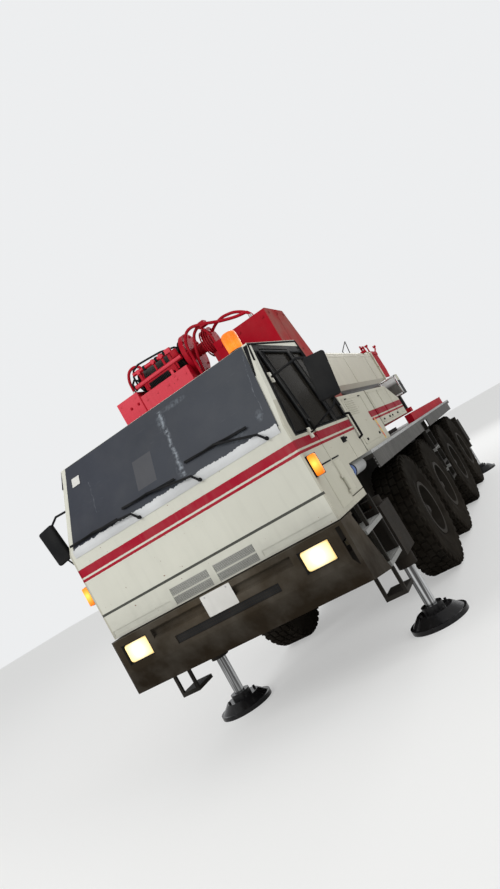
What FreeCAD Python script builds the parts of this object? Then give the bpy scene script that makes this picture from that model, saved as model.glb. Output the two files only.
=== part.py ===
"""Four-axle mobile crane with a telescopic boom, parked on its wheels and jacks.

Lengths are in millimetres. Every place along the vehicle is a distance behind
the cab's front face, and the finished model is moved so that its origin is on
the ground under the middle of the overall length. +X is the vehicle's left,
-Y its front and +Z up.
"""
import FreeCAD, Part
from math import cos, tan
import os
import re

import Sketcher

os.makedirs("parts", exist_ok=True)

doc = FreeCAD.newDocument("MobileCrane")
sheet = doc.addObject("Spreadsheet::Sheet", "Sizes")

# Each entry is a name and a size; angles are in degrees.
SIZES = [
    # carrier frame and deck
    ("NoseReach", 130), ("FrameHalf", 430), ("RailThick", 90), ("RailLow", 1000),
    ("FrameRear", 10450), ("CrossThick", 60), ("BodyHalf", 1300), ("DeckFront", 1860),
    ("DeckTop", 1730), ("DeckPlate", 12), ("LipHigh", 75), ("LipThick", 20), ("DeckWellHalf", 760),
    ("GuardLow", 1525), ("GuardInset", 540),
    ("TankRadius", 72), ("TankInset", 130), ("TankFront", 1000), ("BarInset", 55), ("BarThick", 110), ("BarTop", 1870), ("BarFront", 5600), ("BarRear", 9900),
    # axles, knuckles and wheels
    ("AxleOne", 3160), ("AxleTwo", 4820), ("AxleThree", 7050), ("AxleFour", 8800),
    ("TyreRadius", 745), ("TyreWidth", 430), ("BeadRadius", 318),
    ("RimFlange", 350), ("RimWall", 17), ("BeadGap", 0.3), ("DiscPlace", 40), ("DiscThick", 20),
    ("HubRadius", 130), ("HubReach", 130), ("HubCap", 20),
    ("StubRadius", 55), ("PinPlay", 0.05), ("StubShort", 2),
    ("AxleTube", 75), ("CaseRadius", 190), ("CaseHalf", 150), ("StrutRadius", 45),
    ("KingpinInset", 500), ("KingpinRadius", 30), ("BossRadius", 68), ("BossHalf", 100),
    ("ForkGap", 5), ("ForkThick", 40), ("ForkReach", 55), ("ForkHalf", 60), ("ForkBack", 90),
    ("DrumRadius", 215), ("DrumShift", 95), ("DrumWide", 145),
    # driver's cab
    ("CabInset", 50), ("CabLow", 1406), ("CabRear", 1930), ("CabWaist", 2280),
    ("RoofLean", 75), ("RoofFront", 420), ("RoofFrontHigh", 3100), ("RoofHigh", 3170),
    ("SkirtRear", 1050), ("SkirtHigh", 1735), ("CabWall", 50),
    ("DoorFront", 620), ("DoorRear", 1450), ("DoorLow", 1470), ("DoorHigh", 3040),
    ("PanelGap", 11), ("PaneThick", 6), ("PaneDepth", 18),
    ("SillHigh", 2180), ("WindowTop", 3010), ("PillarWide", 60),
    ("ScreenEdge", 50), ("RearWindowHalf", 700), ("RearWindowLow", 2450), ("RearWindowTop", 3000),
    ("GrilleInner", 35), ("GrilleOuter", 465), ("GrilleLow", 1418), ("GrilleHigh", 1490), ("GrilleStep", 82),
    ("GrilleDeep", 14), ("PressInner", 515), ("PressOuter", 1225), ("PressLow", 1428), ("PressHigh", 1478),
    ("PressDeep", 5), ("SeamHigh", 1648), ("SeamHalf", 7),
    ("HelmRadius", 230), ("HelmTube", 16), ("HingePin", 7), ("HingeRadius", 14), ("HingeHalf", 60),
    ("HingeLow", 1600), ("HingeHigh", 2180), ("HingeLeaf", 45),
    # bumper and lamps
    ("BumperOut", 15), ("BumperLow", 1085), ("TopRear", 300), ("ApronLow", 870), ("ApronRear", 500),
    ("ApronRearLow", 790), ("BumperWall", 25), ("BumperGap", 10), ("ApronSet", 80),
    ("LampInset", 275), ("LampHalf", 150), ("LampLow", 1145), ("LampHigh", 1335), ("LampDeep", 90),
    ("ChannelLow", 1262), ("ChannelHigh", 1350), ("ChannelDeep", 45), ("ChannelHalf", 760),
    ("MeshLow", 1125), ("MeshHigh", 1200), ("MeshHalf", 560), ("MeshDeep", 12),
    ("SignalLow", 1780), ("SignalHigh", 1970), ("SignalWide", 90), ("SignalDeep", 70),
    ("BeaconInset", 275), ("BeaconBack", 700), ("BeaconRadius", 78), ("BeaconHigh", 185),
    # mirrors and steps
    ("MirrorOut", 415), ("MirrorWide", 180), ("MirrorLow", 2290), ("MirrorHigh", 2720),
    ("MirrorBack", 265), ("MirrorDeep", 70), ("ArmRadius", 12),
    ("StepOut", 25), ("StepDeep", 215), ("StepPost", 30), ("StepFront", 520), ("StepRear", 1020),
    ("TreadHigh", 1150), ("TreadMid", 800), ("TreadLow", 540), ("TreadThick", 40), ("TreadFront", 365), ("TreadShort", 300),
    ("LadderFront", 5720), ("LadderRear", 6160), ("LadderLow", 620), ("LadderRungs", 4),
    # outriggers
    ("FrontJack", 1300), ("RearJack", 10150), ("BeamShift", 125), ("BeamWide", 210),
    ("BeamHigh", 260), ("BeamMiddle", 860), ("BeamWall", 12), ("BeamInset", 300),
    ("BeamPlay", 5), ("BeamSeat", 0.3), ("BoxWall", 14), ("BoxInset", 250),
    ("HeadWide", 220), ("HeadInset", 15), ("HeadHalf", 225), ("HeadHigh", 1250),
    ("JackInset", 125), ("JackBarrel", 100), ("JackBarrelLow", 600), ("JackBarrelHigh", 1330),
    ("JackRod", 58), ("JackRodHigh", 850), ("PadRadius", 300), ("PadThick", 45),
    ("CollarRadius", 110), ("CollarHigh", 180), ("DomeRadius", 275), ("DomeTop", 190), ("DomeHigh", 120),
    ("PadBolt", 14), ("PadBoltPlace", 160),
    # power unit
    ("CoverFront", 1950), ("CoverTop", 2400), ("CoverWall", 30), ("CoverSweep", 2800),
    ("EngineHalf", 320), ("EngineFront", 2100), ("EngineRear", 3000),
    ("EngineLow", 1100), ("EngineTop", 2200), ("WellGap", 10),
    # turntable and side housings
    ("SlewPlace", 5860), ("RingRadius", 720), ("RingTop", 1830), ("RingPlay", 0.3),
    ("SpigotRadius", 480), ("SpigotDeep", 60), ("BaseLow", 1885), ("BaseTop", 1960),
    ("BaseRear", 6650), ("SideHalf", 560), ("SideThick", 60),
    ("HousingFront", 3420), ("HousingLow", 1900), ("HousingTop", 2400), ("HousingBend", 4760),
    ("HousingRear", 5330), ("HousingRearTop", 2160), ("HousingShort", 4740), ("WorkLampWide", 300), ("WorkLampFront", 6150), ("WorkLampDeep", 240),
    ("WorkLampLow", 2200), ("WorkLampHigh", 2550), ("WorkLampPost", 90),
    # tail
    ("TailFront", 2200), ("TailLow", 2480), ("TailDeck", 3100), ("TailRear", 2540),
    ("TailTop", 3720), ("TailLeft", 1000), ("TailRight", 1200), ("TailInner", 250),
    ("TailRoofRear", 2850), ("TailKnee", 3130), ("TailFoot", 3320), ("TailGap", 10),
    ("TailLocker", 930),
    # winch
    ("WinchLeft", 180), ("WinchRight", 930), ("WinchSill", 3560), ("WinchLip", 3700),
    ("WinchPlace", 2520), ("WinchHigh", 3830), ("CheekThick", 30), ("CheekRadius", 130),
    ("DrumCore", 170), ("DrumFlange", 240), ("FlangeThick", 15), ("DrumShaft", 45),
    ("GearRadius", 275), ("GearWide", 60), ("MotorFrom", 60), ("MotorTo", 210),
    ("MotorHalf", 175), ("MotorDeep", 160), ("MotorShaft", 70),
    ("GuardPipe", 32), ("GuardPipeHigh", 3830), ("GuardPipeBack", 30), ("GuardBar", 22), ("GuardBarInset", 150),
    ("GuardPlateHigh", 95), ("HoseRadius", 19), ("HoseThin", 14), ("StemHalf", 30),
    # boom
    ("PivotPlace", 3100), ("PivotHigh", 3150), ("PivotRadius", 60), ("BoomHeel", 2750),
    ("BoomHalf", 420), ("BoomLow", 2740), ("BoomTop", 3530), ("BoomCorner", 110),
    ("BoomWall", 14), ("BoomEnd", 10200), ("SlidePlay", 8), ("SlideSeat", 0.3),
    ("InnerHeel", 3300), ("CollarDeep", 120), ("EndStep", 45), ("CollarRise", 25),
    ("HeadTip", 11600), ("HeadRear", 11150), ("HeadPlate", 30), ("HeadLow", 2880), ("HeadTop", 3480),
    ("SheaveRadius", 210), ("SheaveHalf", 130), ("SheaveRim", 8), ("SheaveGroove", 26), ("SheaveCount", 4), ("SheavePlace", 11080), ("SheaveHigh", 3080),
    ("SheavePin", 45), ("JibPinRadius", 25), ("JibPinPlace", 10600), ("JibPinHigh", 3300), ("BlockHalf", 110), ("BlockHigh", 420), ("BlockDrop", 330), ("HookRadius", 95), ("HookThick", 34),
    # luffing cylinder
    ("FootPlace", 4350), ("FootHigh", 2080), ("EyePlace", 7100), ("EyeHigh", 2590),
    ("BarrelRadius", 130), ("BarrelLong", 2560), ("BarrelFrom", 240), ("NeckRadius", 80), ("RodRadius", 85), ("RodFrom", 330), ("RodRoom", 30),
    ("FootEye", 110), ("FootPin", 50), ("EyeRadius", 85), ("EyePin", 40), ("EyeHalf", 92),
    ("LugThick", 40), ("LugGap", 6),
    # operator's cab
    ("HouseInner", 620), ("HouseFront", 4850), ("HouseRear", 6650),
    ("HouseLow", 1925), ("HouseHigh", 3420), ("HouseWall", 40), ("HouseSlope", 250),
    ("HouseSill", 2450), ("HousePillar", 90), ("SlideDoorFrom", 5750), ("SlideDoorTo", 6480),
    ("SlideDoorLow", 2000), ("SlideDoorHigh", 3340), ("SlideDoorThick", 30), ("SlideDoorGap", 5),
    ("SlideDoorTravel", 700), ("RunnerHigh", 30), ("SeatShift", 90), ("SeatWide", 450),
]
for row, (alias, value) in enumerate(SIZES, 1):
    sheet.set("A%d" % row, alias)
    sheet.set("B%d" % row, str(value))
    sheet.setAlias("B%d" % row, alias)
doc.recompute()

# Sizes that follow others: the body's half width sets the places of what lines up with it.
FOLLOWS = (
    ("BumperHalf", "CabHalf + BumperOut"), ("StepInner", "StepOuter - StepDeep"),
    ("StepOuter", "CabHalf + StepOut"), ("MirrorPlace", "CabHalf + MirrorOut"),
    ("BeaconPlace", "CabHalf - BeaconInset"), ("LampPlace", "CabHalf - LampInset"),
    ("RoofHalf", "CabHalf - RoofLean"), ("HouseOuter", "CabHalf"), ("CabHalf", "BodyHalf - CabInset"),
    ("HeadFrom", "HeadTo - HeadWide"), ("HeadTo", "BodyHalf - HeadInset"),
    ("JackPlace", "BodyHalf - JackInset"), ("BoxHalf", "BodyHalf - BoxInset"),
    ("BeamInner", "BodyHalf - BeamInset"), ("DrumPlace", "KingpinPlace + DrumShift"),
    ("KingpinPlace", "TyreFace - KingpinInset"), ("BarHalf", "BodyHalf - BarInset"),
    ("TyreFace", "BodyHalf"), ("DeckHalf", "BodyHalf"),
)

# The middle of the overall length, behind the cab's front face.
MIDDLE = "(HeadTip - NoseReach) / 2"
SIDES = (("left", 1), ("right", -1))
TURNS = {
    "X": FreeCAD.Rotation(FreeCAD.Vector(0, 1, 0), 90),
    "Y": FreeCAD.Rotation(FreeCAD.Vector(1, 0, 0), -90),
    "Z": FreeCAD.Rotation(),
}
pieces = []


def full(text):
    """Write out the sizes that follow others, and put the sheet's name before each size."""
    for name, formula in FOLLOWS:
        text = re.sub(r"\b%s\b" % name, "(%s)" % formula, str(text))
    return re.sub(r"\b([A-Z][A-Za-z]+)\b", r"Sizes.\1", str(text))


def size(text):
    """The present value of an expression, in millimetres."""
    value = sheet.evalExpression(full(text))
    return float(getattr(value, "Value", value))


def bind(item, **places):
    """Tie the item's properties to expressions in the sheet's sizes."""
    for prop, text in places.items():
        item.setExpression(prop, full(text))


def place(item, x, y, z):
    """Tie the item's base point; y is a distance behind the cab's front face."""
    item.setExpression(".Placement.Base.x", full(x))
    item.setExpression(".Placement.Base.y", full("%s - %s" % (y, MIDDLE)))
    item.setExpression(".Placement.Base.z", full(z))


def ordered(pair, side):
    """The low and high ends of a span given from the middle line outwards."""
    near, far = pair
    if side > 0:
        return "(%s)" % near, "(%s)" % far
    return "-(%s)" % far, "-(%s)" % near


def box(name, x, y, z):
    """A block from three spans."""
    item = doc.addObject("Part::Box", name)
    bind(item, Length="%s - (%s)" % (x[1], x[0]), Width="%s - (%s)" % (y[1], y[0]),
         Height="%s - (%s)" % (z[1], z[0]))
    place(item, x[0], y[0], z[0])
    return item


def rod(name, axis, radius, span, at):
    """A round bar along an axis; at holds its other two coordinates in X, Y, Z order."""
    item = doc.addObject("Part::Cylinder", name)
    item.Placement = FreeCAD.Placement(FreeCAD.Vector(), TURNS[axis])
    bind(item, Radius=radius, Height="%s - (%s)" % (span[1], span[0]))
    base = list(at)
    base.insert("XYZ".index(axis), span[0])
    place(item, *base)
    return item


def cone(name, low_radius, high_radius, span, at):
    """A frustum standing on its wider end; at holds its X and Y."""
    item = doc.addObject("Part::Cone", name)
    bind(item, Radius1=low_radius, Radius2=high_radius, Height="%s - (%s)" % (span[1], span[0]))
    place(item, at[0], at[1], span[0])
    return item


def start_body(name, plane):
    """An empty body with a sketch on one of its origin planes."""
    body = doc.addObject("PartDesign::Body", name)
    sketch = body.newObject("Sketcher::SketchObject", name + "Sketch")
    support = [f for f in body.Origin.OriginFeatures if f.Role == plane + "_Plane"][0]
    sketch.AttachmentSupport = [(support, "")]
    sketch.MapMode = "FlatFace"
    return body, sketch


def outline(sketch, points):
    """A closed run of lines whose corners are tied to expressions."""
    corners = [FreeCAD.Vector(size(a), size(b), 0) for a, b in points]
    count = len(points)
    for i in range(count):
        sketch.addGeometry(Part.LineSegment(corners[i], corners[(i + 1) % count]))
    for i in range(count):
        sketch.addConstraint(Sketcher.Constraint("Coincident", i, 2, (i + 1) % count, 1))
    for i, pair in enumerate(points):
        for way, text, seed in zip(("DistanceX", "DistanceY"), pair, corners[i]):
            made = sketch.addConstraint(Sketcher.Constraint(way, i, 1, seed))
            sketch.setExpression("Constraints[%d]" % made, full(text))


def slab(name, plane, points, span):
    """A profile given thickness: YZ takes (y, z), XZ takes (x, z) and XY takes (x, y)."""
    body, sketch = start_body(name, plane)
    outline(sketch, points)
    pad = body.newObject("PartDesign::Pad", name + "Pad")
    pad.Profile = sketch
    bind(pad, Length="%s - (%s)" % (span[1], span[0]))
    start = "-(%s)" % span[1] if plane == "XZ" else span[0]
    sketch.setExpression(".AttachmentOffset.Base.z", full(start))
    place(body, "0", "0", "0")
    return body


def turned(name, points, at):
    """A ring or disc: points are (place along X, radius) and at is the axle's (y, z)."""
    body, sketch = start_body(name, "XY")
    outline(sketch, points)
    ring = body.newObject("PartDesign::Revolution", name + "Turn")
    ring.Profile = sketch
    ring.ReferenceAxis = (sketch, ["H_Axis"])
    ring.Angle = 360
    place(body, "0", at[0], at[1])
    return body


def tube(name, points, radius):
    """A round pipe through the points: straight runs joined by arcs as wide as the runs allow."""
    spots = [FreeCAD.Vector(size(a), size("%s - %s" % (b, MIDDLE)), size(c)) for a, b, c in points]
    edges = []
    start = spots[0]
    for before, corner, after in zip(spots, spots[1:], spots[2:]):
        back, ahead = before - corner, after - corner
        reach = 0.45 * min(back.Length, ahead.Length)
        back.normalize()
        ahead.normalize()
        first, last = corner + back * reach, corner + ahead * reach
        turn = back.getAngle(ahead) / 2
        inward = (back + ahead).normalize()
        centre = corner + inward * (reach / cos(turn))
        middle = centre - inward * (reach * tan(turn))
        edges += [Part.makeLine(start, first), Part.Arc(first, middle, last).toShape()]
        start = last
    edges.append(Part.makeLine(start, spots[-1]))
    path = Part.Wire(edges)
    ring = Part.Wire([Part.makeCircle(size(radius), spots[0], spots[1] - spots[0])])
    item = doc.addObject("Part::Feature", name)
    item.Shape = path.makePipeShell([ring], True, True)
    print("%-12s %.4f m3, %.4f by its length" % (name, item.Shape.Volume / 1e9,
                                                 3.14159 * size(radius) ** 2 * path.Length / 1e9))
    return item


def joined(name, *parts):
    item = doc.addObject("Part::MultiFuse", name)
    item.Shapes = list(parts)
    item.Refine = True
    return item


def cut(name, base, *tools):
    item = doc.addObject("Part::Cut", name)
    item.Base = base
    item.Tool = tools[0] if len(tools) == 1 else group(name + "Tools", *tools)
    return item


def common(name, *parts):
    item = doc.addObject("Part::MultiCommon", name)
    item.Shapes = list(parts)
    return item


def group(name, *parts):
    item = doc.addObject("Part::Compound", name)
    item.Links = list(parts)
    return item


def keep(node, item):
    """Name a finished piece after its node."""
    item.Label = node
    pieces.append((node, item))
    return item


def inset(points, amount):
    """The outline brought inwards by an amount; its points run anticlockwise."""
    lines = []
    for (a, b), (c, d) in zip(points, points[1:] + points[:1]):
        run = "((%s) - (%s))" % (c, a)
        rise = "((%s) - (%s))" % (d, b)
        length = "sqrt(%s^2 + %s^2)" % (run, rise)
        across = "(-1 * %s / %s)" % (rise, length)
        along = "(%s / %s)" % (run, length)
        lines.append((across, along, "((%s) * %s + (%s) * %s + (%s))" % (a, across, b, along, amount)))
    corners = []
    for (a, b, c), (d, e, f) in zip(lines[-1:] + lines[:-1], lines):
        scale = "(%s * %s - %s * %s)" % (a, e, d, b)
        corners.append(("(%s * %s - %s * %s) / %s" % (c, e, f, b, scale),
                        "(%s * %s - %s * %s) / %s" % (a, f, d, c, scale)))
    return corners


def moved_rail(name, side, spans):
    """A block given on the left side, mirrored to the right when side is -1."""
    return box(name, ordered(spans[0], side), spans[1], spans[2])


def outrigger_box(name, jack):
    """The transverse box that holds the two beams of one end, side by side."""
    half = "(BeamShift + BeamWide/2 + BeamPlay + BoxWall)"
    low = "BeamMiddle - BeamHigh/2 - BeamSeat - BoxWall"
    high = "BeamMiddle + BeamHigh/2 + BeamPlay + BoxWall"
    shell = box(name + "Shell", ("-BoxHalf", "BoxHalf"),
                ("%s - %s" % (jack, half), "%s + %s" % (jack, half)), (low, high))
    channels = []
    for side, sign in SIDES:
        middle = "%s - %d * BeamShift" % (jack, sign)
        channels.append(box(name + "Channel" + side, ("-BoxHalf - BoxWall", "BoxHalf + BoxWall"),
                            ("%s - BeamWide/2 - BeamPlay" % middle, "%s + BeamWide/2 + BeamPlay" % middle),
                            ("BeamMiddle - BeamHigh/2 - BeamSeat", "BeamMiddle + BeamHigh/2 + BeamPlay")))
    return cut(name, shell, *channels)


def chassis():
    """Two deep rails with cross members, the outrigger boxes and the slewing pedestal."""
    parts = []
    deck_low = "DeckTop - DeckPlate"
    for side, sign in SIDES:
        parts.append(moved_rail("RailHorn" + side, sign, (
            ("FrameHalf - RailThick", "FrameHalf"), ("ChannelDeep + BumperWall - NoseReach", "TopRear"),
            ("BumperLow + BumperWall/2", "CabLow - BumperGap - BumperWall"))))
        parts.append(moved_rail("RailNose" + side, sign, (("FrameHalf - RailThick", "FrameHalf"),
                                ("TopRear", "DeckFront + CrossThick"), ("RailLow", "CabLow"))))
        parts.append(moved_rail("RailMain" + side, sign, (("FrameHalf - RailThick", "FrameHalf"),
                                ("DeckFront", "FrameRear"), ("RailLow", deck_low))))
    for name, middle in (("Nose", "DeckFront"), ("Mount", "EngineFront + CrossThick"),
                         ("Rest", "EngineRear - 2 * CrossThick"), ("Waist", "(AxleOne + AxleTwo)/2"),
                         ("Back", "(AxleThree + AxleFour)/2"), ("Tail", "FrameRear - CrossThick")):
        high = "EngineLow" if name in ("Mount", "Rest") else "CabLow"
        parts.append(box("Cross" + name, ("-FrameHalf", "FrameHalf"),
                         (middle, "%s + CrossThick" % middle), ("RailLow", high)))
    parts.append(outrigger_box("FrontBox", "FrontJack"))
    parts.append(outrigger_box("RearBox", "RearJack"))
    well = ("SlewPlace - DeckWellHalf + BoxWall", "SlewPlace + DeckWellHalf - BoxWall")
    parts.append(box("Pedestal", ("BoxWall - DeckWellHalf", "DeckWellHalf - BoxWall"), well,
                     (deck_low + " - 2 * LipHigh", "DeckTop + CrossThick")))
    parts.append(rod("LowerRing", "Z", "RingRadius", ("DeckTop", "RingTop"), ("0", "SlewPlace")))
    spigot = rod("SpigotBore", "Z", "SpigotRadius + PinPlay", ("RingTop - SpigotDeep - RingPlay", "RingTop + 1"),
                 ("0", "SlewPlace"))
    return keep("chassis_frame", cut("ChassisFrame", joined("ChassisSum", *parts), spigot))


def deck():
    """Deck plates with edge lips, mudguard skirts and wells around the pedestal and the engine."""
    low = "DeckTop - DeckPlate"
    plate = box("DeckSheet", ("-DeckHalf", "DeckHalf"), ("DeckFront", "FrameRear"), (low, "DeckTop"))
    wells = [box("DeckWell", ("-DeckWellHalf", "DeckWellHalf"),
                 ("SlewPlace - DeckWellHalf", "SlewPlace + DeckWellHalf"), (low + " - 1", "DeckTop + 1")),
             box("EngineWell", ("-EngineHalf - WellGap", "EngineHalf + WellGap"),
                 ("EngineFront - WellGap", "EngineRear + WellGap"), (low + " - 1", "DeckTop + 1"))]
    parts = [cut("DeckOpen", plate, *wells)]
    for name, front, rear in (("Front", "DeckFront", "DeckFront + LipThick"),
                              ("Rear", "FrameRear - LipThick", "FrameRear")):
        for side, sign in SIDES:
            parts.append(moved_rail("Lip%s%s" % (name, side), sign, (
                ("FrameHalf", "DeckHalf"), (front, rear), ("DeckTop - LipHigh", "DeckTop"))))
    for side, sign in SIDES:
        parts.append(moved_rail("EdgeLip" + side, sign, (
            ("DeckHalf - LipThick", "DeckHalf"), ("DeckFront", "FrameRear"), ("DeckTop - LipHigh", "DeckTop"))))
        for name, front, rear in (("Front", "AxleOne - TyreRadius - GuardInset", "AxleTwo + TyreRadius"),
                                  ("Rear", "AxleThree - TyreRadius", "AxleFour + TyreRadius + GuardInset")):
            parts.append(moved_rail("Skirt%s%s" % (name, side), sign, (
                ("DeckHalf - LipThick", "DeckHalf"), (front, rear), ("GuardLow", low))))
    tank = rod("AirTank", "Y", "TankRadius", ("TankFront + CabWall + 20", "DeckFront + LipThick/2"),
               ("CabHalf - TankInset", "DeckTop - TankRadius - SlideSeat"))
    keep("deck", joined("Deck", tank, *parts))
    bars = [moved_rail("DeckBar" + side, sign, (("BarHalf - BarThick", "BarHalf"), ("BarFront", "BarRear"),
                       ("DeckTop", "BarTop"))) for side, sign in SIDES]
    keep("deck_bars", group("DeckBars", *bars))


AXLES = ("AxleOne", "AxleTwo", "AxleThree", "AxleFour")


def axles():
    """Four axles with drive cases and suspension struts; the first two end in kingpin forks."""
    made = []
    for number, at in enumerate(AXLES, 1):
        steered = number <= 2
        reach = "KingpinPlace - ForkBack" if steered else "DrumPlace"
        parts = [rod("AxleTube%d" % number, "X", "AxleTube", ("-(%s)" % reach, reach), (at, "TyreRadius")),
                 rod("AxleCase%d" % number, "X", "CaseRadius", ("-CaseHalf", "CaseHalf"), (at, "TyreRadius"))]
        holes = []
        for side, sign in SIDES:
            tag = "%d%s" % (number, side)
            strut_x = "%d * (FrameHalf - RailThick/2)" % sign
            parts.append(rod("Strut" + tag, "Z", "StrutRadius", ("TyreRadius", "RailLow"), (strut_x, at)))
            if not steered:
                parts.append(rod("AxleDrum" + tag, "X", "DrumRadius",
                                 ordered(("DrumPlace", "DrumPlace + DrumWide"), sign), (at, "TyreRadius")))
                parts.append(rod("AxleStub" + tag, "X", "StubRadius", ordered(
                    ("DrumPlace", "TyreFace - TyreWidth/2 + HubReach - HubCap - StubShort"), sign), (at, "TyreRadius")))
                continue
            arms = "(BossHalf + ForkGap + ForkThick)"
            parts.append(moved_rail("ForkBack" + tag, sign, (
                ("KingpinPlace - ForkBack - AxleTube", "KingpinPlace - ForkBack + ForkThick/4"),
                (at + " - ForkHalf", at + " + ForkHalf"),
                ("TyreRadius - " + arms, "TyreRadius + " + arms))))
            for level, low, high in (("Up", "BossHalf + ForkGap", arms), ("Down", "-" + arms, "-(BossHalf + ForkGap)")):
                parts.append(moved_rail("Fork%s%s" % (level, tag), sign, (
                    ("KingpinPlace - ForkBack", "KingpinPlace + ForkReach"),
                    (at + " - ForkHalf", at + " + ForkHalf"),
                    ("TyreRadius + " + low, "TyreRadius + " + high))))
            holes.append(rod("KingpinBore" + tag, "Z", "KingpinRadius + PinPlay",
                             ("TyreRadius - 2 * BossHalf", "TyreRadius + 2 * BossHalf"),
                             ("%d * KingpinPlace" % sign, at)))
        body = joined("AxleSum%d" % number, *parts)
        made.append(cut("Axle%d" % number, body, *holes) if holes else body)
    keep("axles", group("Axles", *made))


def knuckles():
    """Steered hub carriers: boss, kingpin, stub axle and brake drum."""
    for number, at in enumerate(AXLES[:2], 1):
        for side, sign in SIDES:
            tag = "%d%s" % (number, side)
            pin_x = "%d * KingpinPlace" % sign
            arms = "(BossHalf + ForkGap + ForkThick)"
            parts = [
                rod("Boss" + tag, "Z", "BossRadius", ("TyreRadius - BossHalf", "TyreRadius + BossHalf"), (pin_x, at)),
                rod("Kingpin" + tag, "Z", "KingpinRadius", ("TyreRadius - " + arms, "TyreRadius + " + arms),
                    (pin_x, at)),
                rod("Stub" + tag, "X", "StubRadius", ordered(
                    ("KingpinPlace", "TyreFace - TyreWidth/2 + HubReach - HubCap - StubShort"), sign),
                    (at, "TyreRadius")),
                rod("Drum" + tag, "X", "DrumRadius", ordered(("DrumPlace", "DrumPlace + DrumWide"), sign),
                    (at, "TyreRadius")),
            ]
            keep("knuckle_%d_%s" % (number, side), joined("Knuckle" + tag, *parts))


def wheels():
    """Tyres and dished rims; each profile runs outwards from the tyre's middle plane."""
    middle = "(TyreFace - TyreWidth/2)"
    tyre_half = [("TyreWidth*0.36", "BeadRadius"), ("TyreWidth*0.47", "BeadRadius + 100"),
                 ("TyreWidth/2", "BeadRadius + 210"), ("TyreWidth*0.46", "TyreRadius - 60"),
                 ("TyreWidth*0.40", "TyreRadius")]
    tyre_line = tyre_half + [("-(%s)" % across, radius) for across, radius in reversed(tyre_half)]
    barrel = "TyreWidth*0.42"
    lip = "(%s + RimWall)" % barrel
    bore = "StubRadius + PinPlay"
    rim_line = [("-" + lip, "BeadRadius - RimWall"), ("-" + lip, "RimFlange"), ("-" + barrel, "RimFlange"),
                ("-" + barrel, "BeadRadius - BeadGap"), (barrel, "BeadRadius - BeadGap"), (barrel, "RimFlange"),
                (lip, "RimFlange"), (lip, "BeadRadius - RimWall"),
                ("DiscPlace + DiscThick", "BeadRadius - RimWall"), ("DiscPlace + DiscThick", "HubRadius"),
                ("HubReach", "HubRadius - HubCap"), ("HubReach", "0"), ("HubReach - HubCap", "0"),
                ("HubReach - HubCap", bore), ("0", bore), ("0", "HubRadius"), ("DiscPlace", "HubRadius"),
                ("DiscPlace", "BeadRadius - RimWall")]
    for number, at in enumerate(AXLES, 1):
        for side, sign in SIDES:
            tag = "%d%s" % (number, side)
            for kind, line in (("tyre", tyre_line), ("rim", rim_line)):
                shifted = [("%d * (%s + %s)" % (sign, middle, across), radius) for across, radius in line]
                keep("%s_%d_%s" % (kind, number, side),
                     turned(kind.capitalize() + tag, shifted, (at, "TyreRadius")))


def cab_form(name, amount):
    """The cab's outside brought in by an amount: its side view crossed with its front view."""
    side_view = [("0", "CabLow"), ("SkirtRear", "CabLow"), ("SkirtRear", "SkirtHigh"), ("DeckFront", "DeckTop"),
                 ("CabRear", "DeckTop"), ("CabRear", "RoofHigh"), ("RoofFront", "RoofFrontHigh"), ("0", "CabWaist")]
    front_view = [("-CabHalf", "CabLow"), ("CabHalf", "CabLow"), ("CabHalf", "CabWaist"),
                  ("RoofHalf", "RoofHigh"), ("-RoofHalf", "RoofHigh"), ("-CabHalf", "CabWaist")]
    return common(name, slab(name + "Side", "YZ", inset(side_view, amount), ("-CabHalf", "CabHalf")),
                  slab(name + "Front", "XZ", inset(front_view, amount), ("0", "CabRear")))


def side_window(name, front, rear):
    """The part of the side glazing between two places, as a prism through both sides."""
    lean = "(RoofFront / (RoofFrontHigh - CabWaist))"
    def edge(level):
        return "PillarWide + (%s - CabWaist) * %s" % (level, lean)
    if front is None:
        points = [(edge("SillHigh") + " + 2 * PillarWide", "SillHigh"), (rear, "SillHigh"), (rear, "WindowTop"),
                  (edge("WindowTop") + " + PillarWide", "WindowTop")]
    else:
        points = [(front, "SillHigh"), (rear, "SillHigh"), (rear, "WindowTop"), (front, "WindowTop")]
    return slab(name, "YZ", points, ("-CabHalf - 10", "CabHalf + 10"))


def door_space(name, sign, gap):
    """The side wall's share that belongs to a door, less a gap all round."""
    across = [("CabHalf - CabWall", "DoorLow + " + gap), ("CabHalf + CabWall", "DoorLow + " + gap),
              ("CabHalf + CabWall", "DoorHigh - " + gap), ("RoofHalf - CabWall - PanelGap", "DoorHigh - " + gap),
              ("CabHalf - CabWall - PanelGap", "CabWaist"), ("CabHalf - CabWall", "CabWaist - CabWall")]
    return slab(name, "XZ", [("%d * (%s)" % (sign, a), b) for a, b in across],
                ("DoorFront + " + gap, "DoorRear - " + gap))


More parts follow.
